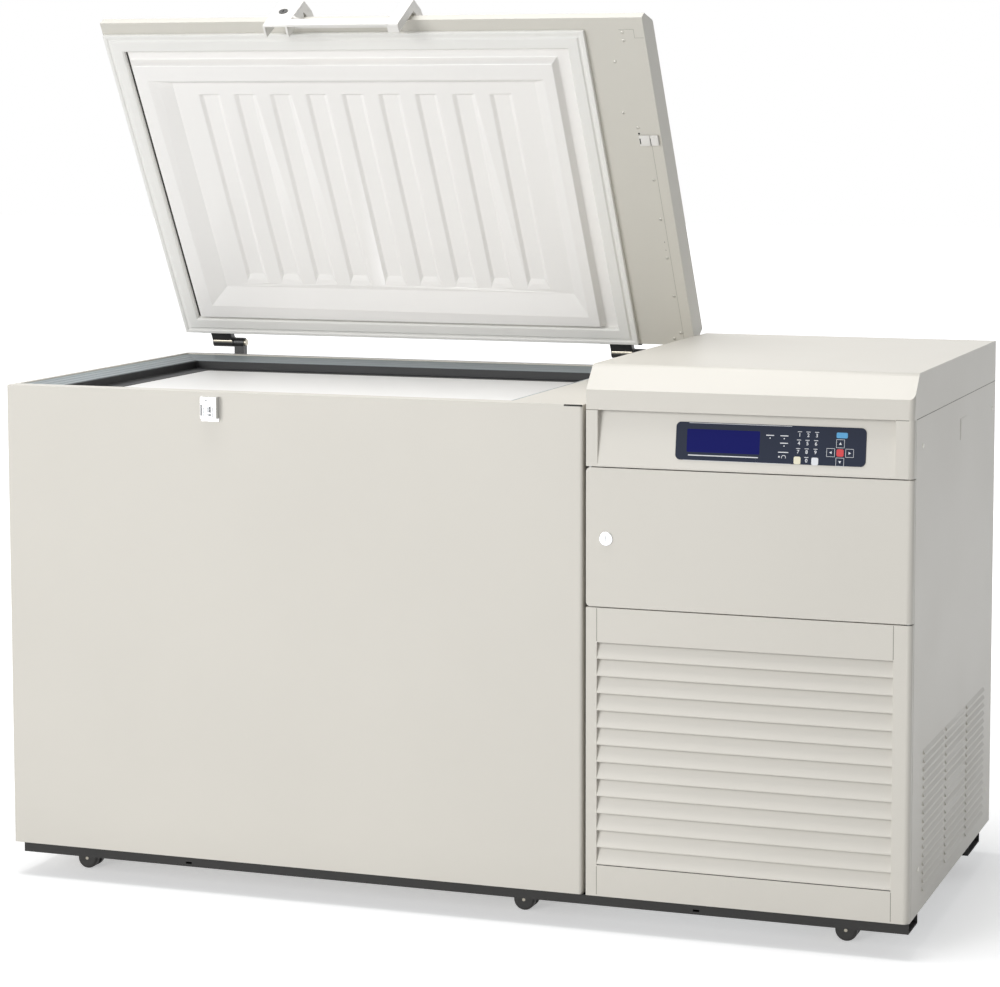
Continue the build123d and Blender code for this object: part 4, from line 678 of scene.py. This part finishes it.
@dataclass
class LidDressing(Dressing):
    """Screws, seams and the plastic block on the painted strip beside the seal."""

    underside: float = 950.0
    screws: tuple[tuple[float, float], ...] = (
        (1089.0, 31.0), (1089.5, 48.0), (1065.5, 93.0), (1065.0, 203.0), (1088.5, 236.0), (1103.0, 352.0),
        (1103.5, 441.0), (1104.0, 530.5), (1105.0, 620.0), (1106.0, 708.0), (1091.0, 722.0))
    holes: tuple[tuple[float, float, float, float, float, int], ...] = (
        (1089.0, 249.0, 1.6, 2.1, 0.15, 16), (1104.0, 493.5, 0.7, 0.9, 0.12, 12),
        (1104.0, 512.0, 0.7, 0.9, 0.12, 12))
    seam_x: float = 1111.0
    seam_from: float = 276.0
    seam_to: float = 736.0
    seam_width: float = 0.9
    notch: tuple[tuple[float, float], ...] = ((1083.0, 25.0), (1112.0, 25.0), (1112.0, 43.0), (1130.0, 43.0))
    gap_x: tuple[float, float] = (50.2, 53.6)
    gap_y: tuple[float, float] = (63.0, 696.0)
    block_middle: tuple[float, float] = (1108.0, 262.0)
    block_size: tuple[float, float, float] = (39.0, 22.0, 7.0)

    def hang_on_lid(self, maker: Maker, name: str, finish: str, slot: str) -> None:
        """Same as hang, for a piece made on the closed lid and carried up with it."""
        self.hang(maker, name, finish, slot, "lid", self.datum.lid_turn())

    def under(self, x: float, y: float) -> Matrix:
        """Place on the closed lid's underside, with Z pointing down out of it."""
        return Matrix.Translation(self.datum.at(x, y, self.underside)) @ facing((0.0, 0.0, -1.0))

    def add_screws(self) -> None:
        """Eleven screws, and one open hole and two pin holes as dark cones of painted shade."""
        maker = Maker()
        for x, y in self.screws:
            ScrewHead().add(maker, self.under(x, y))
        self.hang_on_lid(maker, "lid_strip_screws", "screw_zinc", "zinc_steel")
        # Dark cones on the strip: painted shade inside the holes
        hole = Maker()
        for x, y, radius, rim, depth, sides in self.holes:
            inner, outer, depth = mm(radius, rim, depth)
            hole.lathe([(0.0, depth), (inner, depth), (outer, 0.0)], self.under(x, y), sides)
        self.hang_on_lid(hole, "lid_strip_holes", "dark_joint_and_painted_shade", "seal_rubber")

    def add_seams(self) -> None:
        """Lap seam of the edge flange and the stepped notch at its front end."""
        maker = Maker()
        wide = self.seam_width / 1000.0
        lap = ((self.seam_x, self.seam_from), (self.seam_x, self.seam_to))
        for (x0, y0), (x1, y1) in (lap, *zip(self.notch, self.notch[1:])):
            long_x = abs(x1 - x0) / 1000.0 + wide
            long_y = abs(y1 - y0) / 1000.0 + wide
            middle = self.under((x0 + x1) / 2, (y0 + y1) / 2)
            maker.slab((long_x, long_y, 0.0005), middle, 0.0002, 1)
        self.hang_on_lid(maker, "lid_strip_seams", "lid_seam", "cabinet_paint")

    def add_block(self) -> None:
        """White plastic block with a parting line and a notch at its outer end; both are dark slabs, the
        notch one of painted shade.
        """
        maker = Maker()
        size_x, size_y, size_z = mm(*self.block_size)
        middle = self.under(*self.block_middle)
        inner = middle @ Matrix.Translation((-size_x * 0.29, 0, size_z * 0.4))
        outer = middle @ Matrix.Translation((size_x * 0.20, 0, size_z * 0.5))
        maker.slab((size_x * 0.40, size_y, size_z * 0.8), inner, 0.0014)
        maker.slab((size_x * 0.56, size_y, size_z), outer, 0.0016)
        self.hang_on_lid(maker, "lid_side_block", "handle_white", "handle_white")
        # Painted shade in the notch, and the parting line as a dark joint
        notch = Maker()
        notch.slab((0.0022, size_y * 0.55, 0.0006),
                   middle @ Matrix.Translation((size_x * 0.42, 0, size_z + 0.0001)), 0.0002, 1)
        notch.slab((0.0007, size_y * 0.7, 0.0006),
                   middle @ Matrix.Translation((-size_x * 0.1, size_y * 0.1, size_z * 0.8)), 0.0002, 1)
        self.hang_on_lid(notch, "lid_side_block_notch", "dark_joint_and_painted_shade", "seal_rubber")

    def add_gap_shade(self) -> None:
        """Thin dark slab of painted shade in the gap between the seal and the moulded panel at the left."""
        maker = Maker()
        left, right = self.gap_x
        front, back = self.gap_y
        middle = self.under((left + right) / 2, (front + back) / 2)
        maker.slab(mm(right - left, back - front, 0.8), middle, 0.0003, 1)
        self.hang_on_lid(maker, "seal_gap_painted_shade", "dark_joint_and_painted_shade", "seal_rubber")

    def build(self) -> None:
        """Adds everything on the lid's strip."""
        self.add_screws()
        self.add_gap_shade()
        self.add_seams()
        self.add_block()


@dataclass
class SidePanelDressing(Dressing):
    """Screws and the blank embossed plate on the right side."""

    side_x: float = 1730.0
    screws: tuple[tuple[float, float], ...] = ((73.0, 883.0), (735.0, 882.0), (718.0, 137.0), (73.0, 143.0))
    plate_middle: tuple[float, float] = (444.0, 874.5)
    plate_size: tuple[float, float] = (68.0, 39.0)

    def on_side(self, y: float, z: float) -> Matrix:
        """Place on the right side, with Z out of it and X along the depth."""
        turn = Matrix(((0.0, 0.0, 1.0), (1.0, 0.0, 0.0), (0.0, 1.0, 0.0))).to_4x4()
        return Matrix.Translation(self.datum.at(self.side_x, y, z)) @ turn

    def build(self) -> None:
        """Adds the screws and the plate."""
        maker = Maker()
        for y, z in self.screws:
            ScrewHead(radius=0.0046, height=0.0018).add(maker, self.on_side(y, z))
        self.hang(maker, "side_panel_screws", "screw_zinc", "zinc_steel")
        plate = Maker()
        width, height = mm(*self.plate_size)
        middle = self.on_side(*self.plate_middle)
        plate.plate(rounded_outline(width, height, 0.003), 0.0006, middle)
        plate.plate(rounded_outline(width - 0.008, height - 0.008, 0.002), 0.0009, middle)
        self.hang(plate, "side_blank_plate", "cabinet_paint", "cabinet_paint")


@dataclass
class ControlPrint(Dressing):
    """What is printed on the keypad sheet: numerals, arrows, lamps and lines."""

    foot: Point = (0.0, 0.0, 836.0)
    sink: float = 14.0
    rise: float = 97.0
    lift: float = 1.25
    digits: tuple[tuple[str, float, float], ...] = (
        ("1", 1530.0, 900.5), ("2", 1545.0, 900.5), ("3", 1560.0, 900.5),
        ("4", 1529.0, 886.5), ("5", 1544.0, 886.5), ("6", 1559.0, 886.5),
        ("7", 1528.0, 872.0), ("8", 1543.0, 872.0), ("9", 1558.5, 872.0), ("0", 1543.0, 857.5))
    letter_size: float = 8.64
    lines: tuple[tuple[float, float, float, float], ...] = (
        (1333.0, 914.4, 1516.0, 915.2), (1333.0, 858.6, 1458.0, 860.2), (1324.0, 850.4, 1516.0, 851.0),
        (1493.0, 869.5, 1511.0, 871.0))
    lamps: tuple[tuple[float, float], ...] = ((1478.0, 897.5), (1503.0, 897.5), (1503.0, 885.0))
    cross_key: tuple[float, float] = (1601.5, 873.0)
    cross_reach: tuple[float, float] = (16.5, 15.5)
    keys: tuple[tuple[str, str, float, float, float, float], ...] = (
        ("keypad_red_key", "print_red", 1601.5, 873.0, 12.5, 12.5),
        ("keypad_blue_key", "print_blue", 1604.0, 902.5, 19.5, 9.5),
        ("keypad_cream_key", "print_cream", 1527.0, 857.5, 12.0, 13.0),
        ("keypad_white_key", "print_white", 1558.0, 857.0, 12.0, 13.0))
    ink: float = 0.00012

    def slope(self) -> Matrix:
        """Matrix of the leaning face: X along the width, Y up the slope, Z out of it.

        Returns:
            The matrix, with its origin at the foot of the face.
        """
        up = Vector((0.0, self.sink, self.rise)).normalized()
        across = Vector((1.0, 0.0, 0.0))
        out = across.cross(up)
        turn = Matrix((across, up, out)).transposed().to_4x4()
        return Matrix.Translation(self.datum.at(*self.foot)) @ turn

    def stretch(self) -> float:
        """Length along the leaning face for each millimetre of height."""
        return math.hypot(self.sink, self.rise) / self.rise

    def on_panel(self, x: float, z: float) -> Matrix:
        """Place on the sheet from millimetres along the width and above the floor."""
        return self.slope() @ Matrix.Translation(mm(x, (z - self.foot[2]) * self.stretch(), self.lift))

    def bar(self, maker: Maker, x0: float, z0: float, x1: float, z1: float, thick: float = 0.12) -> None:
        """Thin printed rectangle between two corners.

        Args:
            maker: mesh that takes it.
            x0: left side in millimetres.
            z0: lower side in millimetres above the floor.
            x1: right side.
            z1: upper side.
            thick: how far it stands out, in millimetres.
        """
        wide, high = abs(x1 - x0), abs(z1 - z0)
        outline = rounded_outline(wide / 1000.0, high * self.stretch() / 1000.0, min(wide, high) * 0.0002, 2)
        maker.plate(outline, thick / 1000.0, self.on_panel((x0 + x1) / 2, (z0 + z1) / 2))

    def add_numerals(self) -> None:
        """Ten numerals as flat letters of the built-in typeface."""
        joined = bmesh.new()
        for sign, x, z in self.digits:
            curve = bpy.data.curves.new("numeral", "FONT")
            curve.body = sign
            curve.size = self.letter_size / 1000.0
            curve.extrude = self.ink / 2
            curve.offset = 0.00012
            curve.align_x = "CENTER"
            curve.align_y = "CENTER"
            letter = bpy.data.objects.new("numeral", curve)
            bpy.context.scene.collection.objects.link(letter)
            bpy.context.view_layer.update()
            mesh = bpy.data.meshes.new_from_object(letter)
            mesh.transform(self.on_panel(x, z))
            joined.from_mesh(mesh)
            bpy.data.meshes.remove(mesh)
            bpy.data.objects.remove(letter)
        data = bpy.data.meshes.new("keypad_numerals")
        joined.to_mesh(data)
        joined.free()
        data.materials.append(self.wardrobe.materials["print_white"])
        made = bpy.data.objects.new("keypad_numerals", data)
        bpy.context.scene.collection.objects.link(made)
        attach(made, "cabinet")

    def add_marks(self) -> None:
        """Lines round the display, lamp dots, key frames and arrows."""
        white = Maker()
        for line in self.lines:
            self.bar(white, *line)
        for x, z in self.lamps:
            self.bar(white, x - 7.0, z, x + 7.0, z + 1.5)
            white.plate(rounded_outline(0.0022, 0.0022, 0.00108), self.ink, self.on_panel(x, z - 4.0))
        white.plate(rounded_outline(0.0030, 0.0030, 0.00148), self.ink, self.on_panel(1495.0, 862.5))
        turns = [math.radians(turn) for turn in range(-20, 201, 20)]
        arc = [(0.0042 * math.cos(turn), 0.0042 * math.sin(turn)) for turn in turns]
        arc += [(0.0032 * math.cos(turn), 0.0032 * math.sin(turn)) for turn in reversed(turns)]
        white.plate(arc, self.ink, self.on_panel(1503.0, 861.5))
        for _, x, z in self.digits:
            self.bar(white, x - 3.6, z + 5.2, x + 3.6, z + 6.2)
        cross_x, cross_z = self.cross_key
        reach_x, reach_z = self.cross_reach
        for dx, dz in ((0.0, reach_z), (0.0, -reach_z), (-reach_x, 0.0), (reach_x, 0.0)):
            self.add_key_frame(white, cross_x + dx, cross_z + dz)
            self.add_arrow(white, cross_x + dx, cross_z + dz, math.degrees(math.atan2(dz, dx)))
        self.hang(white, "keypad_marks", "print_white", "overlay")
        for name, finish, x, z, wide, high in self.keys:
            key = Maker()
            self.bar(key, x - wide / 2, z - high / 2, x + wide / 2, z + high / 2, 0.35)
            self.hang(key, name, finish, "overlay")

    def add_key_frame(self, maker: Maker, x: float, z: float, half: float = 7.2, line: float = 0.6) -> None:
        """Thin square outline of one arrow key.

        Args:
            maker: mesh that takes it.
            x: its middle in millimetres from the left.
            z: its middle above the floor.
            half: half of its side.
            line: width of its line.
        """
        self.bar(maker, x - half, z - half, x - half + line, z + half)
        self.bar(maker, x + half - line, z - half, x + half, z + half)
        self.bar(maker, x - half, z - half, x + half, z - half + line)
        self.bar(maker, x - half, z + half - line, x + half, z + half)

    def add_arrow(self, maker: Maker, x: float, z: float, turn_deg: float) -> None:
        """Small triangle that points away from the middle key.

        Args:
            maker: mesh that takes it.
            x: its middle in millimetres from the left.
            z: its middle above the floor.
            turn_deg: which way it points, 0 to the right.
        """
        triangle = [(0.0026, 0.0), (-0.0018, 0.0024), (-0.0018, -0.0024)]
        turn = Matrix.Rotation(math.radians(turn_deg), 4, "Z")
        maker.plate(triangle, self.ink, self.on_panel(x, z) @ turn)

    def build(self) -> None:
        """Adds the whole print."""
        self.add_numerals()
        self.add_marks()


@dataclass
class ChestDressing(Dressing):
    """Seam strip on the ledge, hinge sleeves, bracket screws and the strike's loop."""

    hinge_middles: tuple[float, float] = (96.0, 984.0)
    sleeve_radius: float = 10.6
    sleeve_length: float = 45.0
    sleeve_right: float = 11.0
    sleeve_rise: float = 3.0
    strike_left: float = 409.0
    strike_front: float = -14.0
    strike_middle_z: float = 908.0
    ledge_seam: Point = (1123.5, 1.2, 938.6)
    ledge_seam_size: Point = (34.0, 3.0, 3.2)
    bracket_back: float = 769.0
    bracket_screws_x: tuple[float, float] = (-22.0, 6.0)
    bracket_screws_z: tuple[float, float] = (850.0, 880.0)

    def add_sleeves(self) -> None:
        """Bright sleeve over each hinge barrel."""
        maker = Maker()
        for middle in self.hinge_middles:
            start = self.datum.at(middle + self.sleeve_right - self.sleeve_length, self.datum.hinge_y,
                                  self.datum.hinge_z + self.sleeve_rise)
            radius, length = mm(self.sleeve_radius, self.sleeve_length)
            edge = 0.0012
            profile = [(0.0, 0.0), (radius - edge, 0.0), (radius, edge), (radius, length - edge),
                       (radius - edge, length), (0.0, length)]
            maker.lathe(profile, Matrix.Translation(start) @ facing((1.0, 0.0, 0.0)), 32)
        self.hang(maker, "hinge_barrel_sleeves", "zinc_steel", "zinc_steel", "lid")

    def add_strike_loop(self) -> None:
        """Bent loop, and two dark slabs of painted shade for the slots on the strike's face."""
        loop = Maker()
        # The slots are thin dark slabs of painted shade
        slots = Maker()
        upright, bar, slot = (3.0, 2.2, 25.0), (17.0, 1.8, 2.6), (2.4, 0.4, 20.0)
        rows = [(loop, upright, (x, -0.9, 0.0), 0.0007, 2) for x in (6.5, 24.5)]
        rows += [(loop, bar, (15.5, -0.7, z), 0.0006, 2) for z in (-6.0, 8.0)]
        rows += [(slots, slot, (x, -0.1, -1.0), 0.0001, 1) for x in (2.2, 20.2)]
        for maker, size, (x, y, z), round_by, steps in rows:
            place = self.datum.at(self.strike_left + x, self.strike_front + y, self.strike_middle_z + z)
            maker.slab(mm(*size), Matrix.Translation(place), round_by, steps)
        self.hang(loop, "strike_loop", "chrome_plate", "chrome_plate")
        self.hang(slots, "strike_slots", "dark_joint_and_painted_shade", "black_plastic")

    def build(self) -> None:
        """Adds the small pieces of the chest section."""
        seam = Maker()
        seam.slab(mm(*self.ledge_seam_size), Matrix.Translation(self.datum.at(*self.ledge_seam)), 0.0005, 1)
        self.hang(seam, "ledge_end_seam", "dark_joint_and_painted_shade", "black_plastic")
        screws = Maker()
        for middle in self.hinge_middles:
            for dx in self.bracket_screws_x:
                for z in self.bracket_screws_z:
                    seat = Matrix.Translation(self.datum.at(middle + dx, self.bracket_back, z))
                    ScrewHead(radius=0.0055, height=0.0022).add(screws, seat @ facing((0.0, 1.0, 0.0)))
        self.hang(screws, "hinge_bracket_screws", "screw_zinc", "zinc_steel")
        self.add_sleeves()
        self.add_strike_loop()


@dataclass
class FrontSeams(Dressing):
    """Fine joints between the sheet pieces of the machine section."""

    left: float = 1148.0
    right: float = 1730.0
    back: float = 765.0
    posts: tuple[float, float] = (21.0, 32.0)
    cover_z: float = 932.6
    line: float = 1.2
    grille_x: tuple[float, float] = (1168.0, 1698.0)
    grille_runs: tuple[tuple[float, float], ...] = ((68.0, 119.0), (523.0, 582.0))

    def strip(self, maker: Maker, low: Point, high: Point) -> None:
        """Thin strip between two corners in millimetres.

        Args:
            maker: mesh that takes it.
            low: corner with the smallest values.
            high: corner with the largest values.
        """
        middle = self.datum.at(*((a + b) / 2 for a, b in zip(low, high)))
        maker.slab(mm(*(b - a for a, b in zip(low, high))), Matrix.Translation(middle))

    def build(self) -> None:
        """Adds the joint under the cover and the two upright joints beside the louvres."""
        dark = Maker()
        half = self.line / 2
        low, high = self.cover_z - half, self.cover_z + half
        left_post, right_post = self.posts
        for x0, x1 in ((self.left, self.left + left_post), (self.right - right_post, self.right - 9.0)):
            self.strip(dark, (x0, -0.15, low), (x1, 0.1, high))
        self.strip(dark, (self.right - 0.1, 20.0, low), (self.right + 0.15, self.back, high))
        self.hang(dark, "cover_joint", "panel_seam", "cabinet_paint")
        fine = Maker()
        for x in self.grille_x:
            for z0, z1 in self.grille_runs:
                self.strip(fine, (x - 0.5, -0.12, z0), (x + 0.5, 0.1, z1))
        self.hang(fine, "grille_joints", "panel_seam", "cabinet_paint", "intake_grille")


# Camera, light and floor
@dataclass
class PhotoCamera:
    """Camera at the photograph's angle."""

    place: Point = (1.82525, -5.05842, 1.451)
    yaw_deg: float = 18.89
    pitch_deg: float = 5.42
    focal_px: float = 2829.0
    middle_px: tuple[float, float] = (556.7, 380.0)
    picture_px: tuple[float, float] = (1000.0, 987.0)
    sensor_mm: float = 36.0

    def build(self) -> None:
        """Creates the camera and makes it the scene's."""
        data = bpy.data.cameras.new("photo_camera")
        data.sensor_width = self.sensor_mm
        data.sensor_fit = "HORIZONTAL"
        wide, high = self.picture_px
        data.lens = self.focal_px / wide * self.sensor_mm
        data.shift_x = (wide / 2 - self.middle_px[0]) / wide
        data.shift_y = (self.middle_px[1] - high / 2) / wide
        data.clip_end = 60.0
        camera = bpy.data.objects.new("photo_camera", data)
        camera.location = self.place
        camera.rotation_euler = (math.radians(90.0 - self.pitch_deg), 0.0, math.radians(self.yaw_deg))
        bpy.context.scene.collection.objects.link(camera)
        bpy.context.scene.camera = camera


@dataclass
class Lamp:
    """One soft lamp that looks at a point."""

    name: str
    place: Point
    target: Point
    size: float
    watts: float
    colour: Colour = (1.0, 1.0, 1.0)

    def build(self) -> None:
        """Creates the lamp."""
        data = bpy.data.lights.new(self.name, "AREA")
        data.shape = "DISK"
        data.size = self.size
        data.energy = self.watts
        data.color = self.colour
        lamp = bpy.data.objects.new(self.name, data)
        lamp.location = self.place
        lamp.rotation_euler = (Vector(self.target) - Vector(self.place)).to_track_quat("-Z", "Y").to_euler()
        bpy.context.scene.collection.objects.link(lamp)


@dataclass
class Studio:
    """Pale floor, even surroundings and two lamps."""

    floor_size: float = 60.0
    lift_near: float = 0.44
    lift_far: float = 1.0
    lift_reach: tuple[float, float] = (1.2, 3.6)
    world_level: float = 0.31
    lamps: tuple[Lamp, ...] = (
        Lamp("key_lamp", (-3.4, -8.0, 2.7), (0.0, 0.0, 0.8), 4.4, 360.0),
        Lamp("top_lamp", (-0.4, -0.4, 5.2), (0.0, 0.0, 0.9), 3.2, 150.0),
    )

    def white_where_seen(self, tree: bpy.types.NodeTree, shader: bpy.types.NodeSocket,
                         white: bpy.types.NodeSocket) -> bpy.types.NodeSocket:
        """Shows white to the camera and in reflections, and the real shader to everything else.

        Args:
            tree: node tree that takes the nodes.
            shader: what lights the freezer.
            white: what the camera sees.

        Returns:
            The socket with the mixed shader.
        """
        path = tree.nodes.new("ShaderNodeLightPath")
        seen = path.outputs["Is Camera Ray"]
        for label in ("Is Glossy Ray", "Is Transmission Ray"):
            either = tree.nodes.new("ShaderNodeMath")
            either.operation = "ADD"
            either.use_clamp = True
            tree.links.new(seen, either.inputs[0])
            tree.links.new(path.outputs[label], either.inputs[1])
            seen = either.outputs[0]
        mix = tree.nodes.new("ShaderNodeMixShader")
        tree.links.new(seen, mix.inputs["Fac"])
        tree.links.new(shader, mix.inputs[1])
        tree.links.new(white, mix.inputs[2])
        return mix.outputs[0]

    def build_world(self) -> None:
        """Even grey light all round that the camera sees as white."""
        world = bpy.data.worlds.new("studio")
        world.use_nodes = True
        bpy.context.scene.world = world
        tree = world.node_tree
        light = tree.nodes["Background"]
        light.inputs["Color"].default_value = (0.96, 0.98, 1.0, 1.0)
        light.inputs["Strength"].default_value = self.world_level
        seen = tree.nodes.new("ShaderNodeBackground")
        seen.inputs["Color"].default_value = (1.0, 1.0, 1.0, 1.0)
        result = self.white_where_seen(tree, light.outputs[0], seen.outputs[0])
        tree.links.new(result, tree.nodes["World Output"].inputs["Surface"])

    def lift_by_distance(self, tree: bpy.types.NodeTree) -> bpy.types.NodeSocket:
        """Strength of the floor's glow, low around the freezer and full far from it.

        Args:
            tree: the floor material's node tree.

        Returns:
            The socket that holds the strength.
        """
        place = tree.nodes.new("ShaderNodeNewGeometry")
        away = tree.nodes.new("ShaderNodeVectorMath")
        away.operation = "LENGTH"
        grow = tree.nodes.new("ShaderNodeMapRange")
        grow.interpolation_type = "SMOOTHSTEP"
        limits = (*self.lift_reach, self.lift_near, self.lift_far)
        for label, value in zip(("From Min", "From Max", "To Min", "To Max"), limits):
            grow.inputs[label].default_value = value
        tree.links.new(place.outputs["Position"], away.inputs[0])
        tree.links.new(away.outputs["Value"], grow.inputs["Value"])
        return grow.outputs["Result"]

    def build_floor(self) -> None:
        """White floor that keeps the shadow."""
        maker = bmesh.new()
        bmesh.ops.create_grid(maker, x_segments=1, y_segments=1, size=self.floor_size / 2)
        data = bpy.data.meshes.new("studio_floor")
        maker.to_mesh(data)
        maker.free()
        floor = bpy.data.objects.new("studio_floor", data)
        bpy.context.scene.collection.objects.link(floor)
        material = bpy.data.materials.new("studio_floor")
        material.use_nodes = True
        tree = material.node_tree
        shader = tree.nodes["Principled BSDF"]
        shader.inputs["Base Color"].default_value = (0.82, 0.82, 0.82, 1.0)
        shader.inputs["Roughness"].default_value = 0.85
        shader.inputs["Specular IOR Level"].default_value = 0.1
        shadow = tree.nodes.new("ShaderNodeBsdfDiffuse")
        shadow.inputs["Color"].default_value = (0.9, 0.9, 0.9, 1.0)
        lift = tree.nodes.new("ShaderNodeEmission")
        tree.links.new(self.lift_by_distance(tree), lift.inputs["Strength"])
        bright = tree.nodes.new("ShaderNodeAddShader")
        tree.links.new(shadow.outputs[0], bright.inputs[0])
        tree.links.new(lift.outputs[0], bright.inputs[1])
        result = self.white_where_seen(tree, shader.outputs[0], bright.outputs[0])
        tree.links.new(result, tree.nodes["Material Output"].inputs["Surface"])
        data.materials.append(material)

    def build(self) -> None:
        """Adds floor, surroundings and lamps."""
        self.build_floor()
        self.build_world()
        for lamp in self.lamps:
            lamp.build()


@dataclass
class Roundings:
    """Small roundings on the folded edges of painted sheet and moulded pieces."""

    widths: tuple[tuple[str, float], ...] = (
        ("outer_case", 1.2), ("machine_cover", 1.6), ("control_fascia", 1.0), ("front_door", 1.4),
        ("front_grille", 0.5), ("side_panel", 0.4), ("lid_skin", 1.4), ("lid_liner", 2.2),
        ("lid_gasket", 0.8), ("lid_handle", 1.6), ("top_frame", 0.5), ("breaker_strip", 1.0))

    def build(self) -> None:
        """Puts a weld and a bevel modifier on each listed node."""
        for name, width in self.widths:
            node = frame["nodes"][name]
            weld = node.modifiers.new("joined_corners", "WELD")
            weld.merge_threshold = 0.00001
            bevel = node.modifiers.new("rounded_edges", "BEVEL")
            bevel.width = width / 1000.0
            bevel.segments = 2
            bevel.limit_method = "ANGLE"
            bevel.angle_limit = math.radians(25.0)
            bevel.use_clamp_overlap = True
            bevel.harden_normals = True
        LOG.info("rounded nodes: %d", len(self.widths))


def main() -> None:
    """Builds the camera, the studio and every dressed piece in order."""
    logging.basicConfig(level=logging.INFO, format="%(name)s: %(message)s")
    bpy.context.scene.view_settings.view_transform = "Standard"
    PhotoCamera().build()
    Studio().build()
    wardrobe = Wardrobe(Effects.make())
    wardrobe.fill()
    wardrobe.dress_nodes()
    Roundings().build()
    datum = Datum()
    LidDressing(datum, wardrobe).build()
    SidePanelDressing(datum, wardrobe).build()
    ControlPrint(datum, wardrobe).build()
    ChestDressing(datum, wardrobe).build()
    FrontSeams(datum, wardrobe).build()


if __name__ == "__main__":
    main()
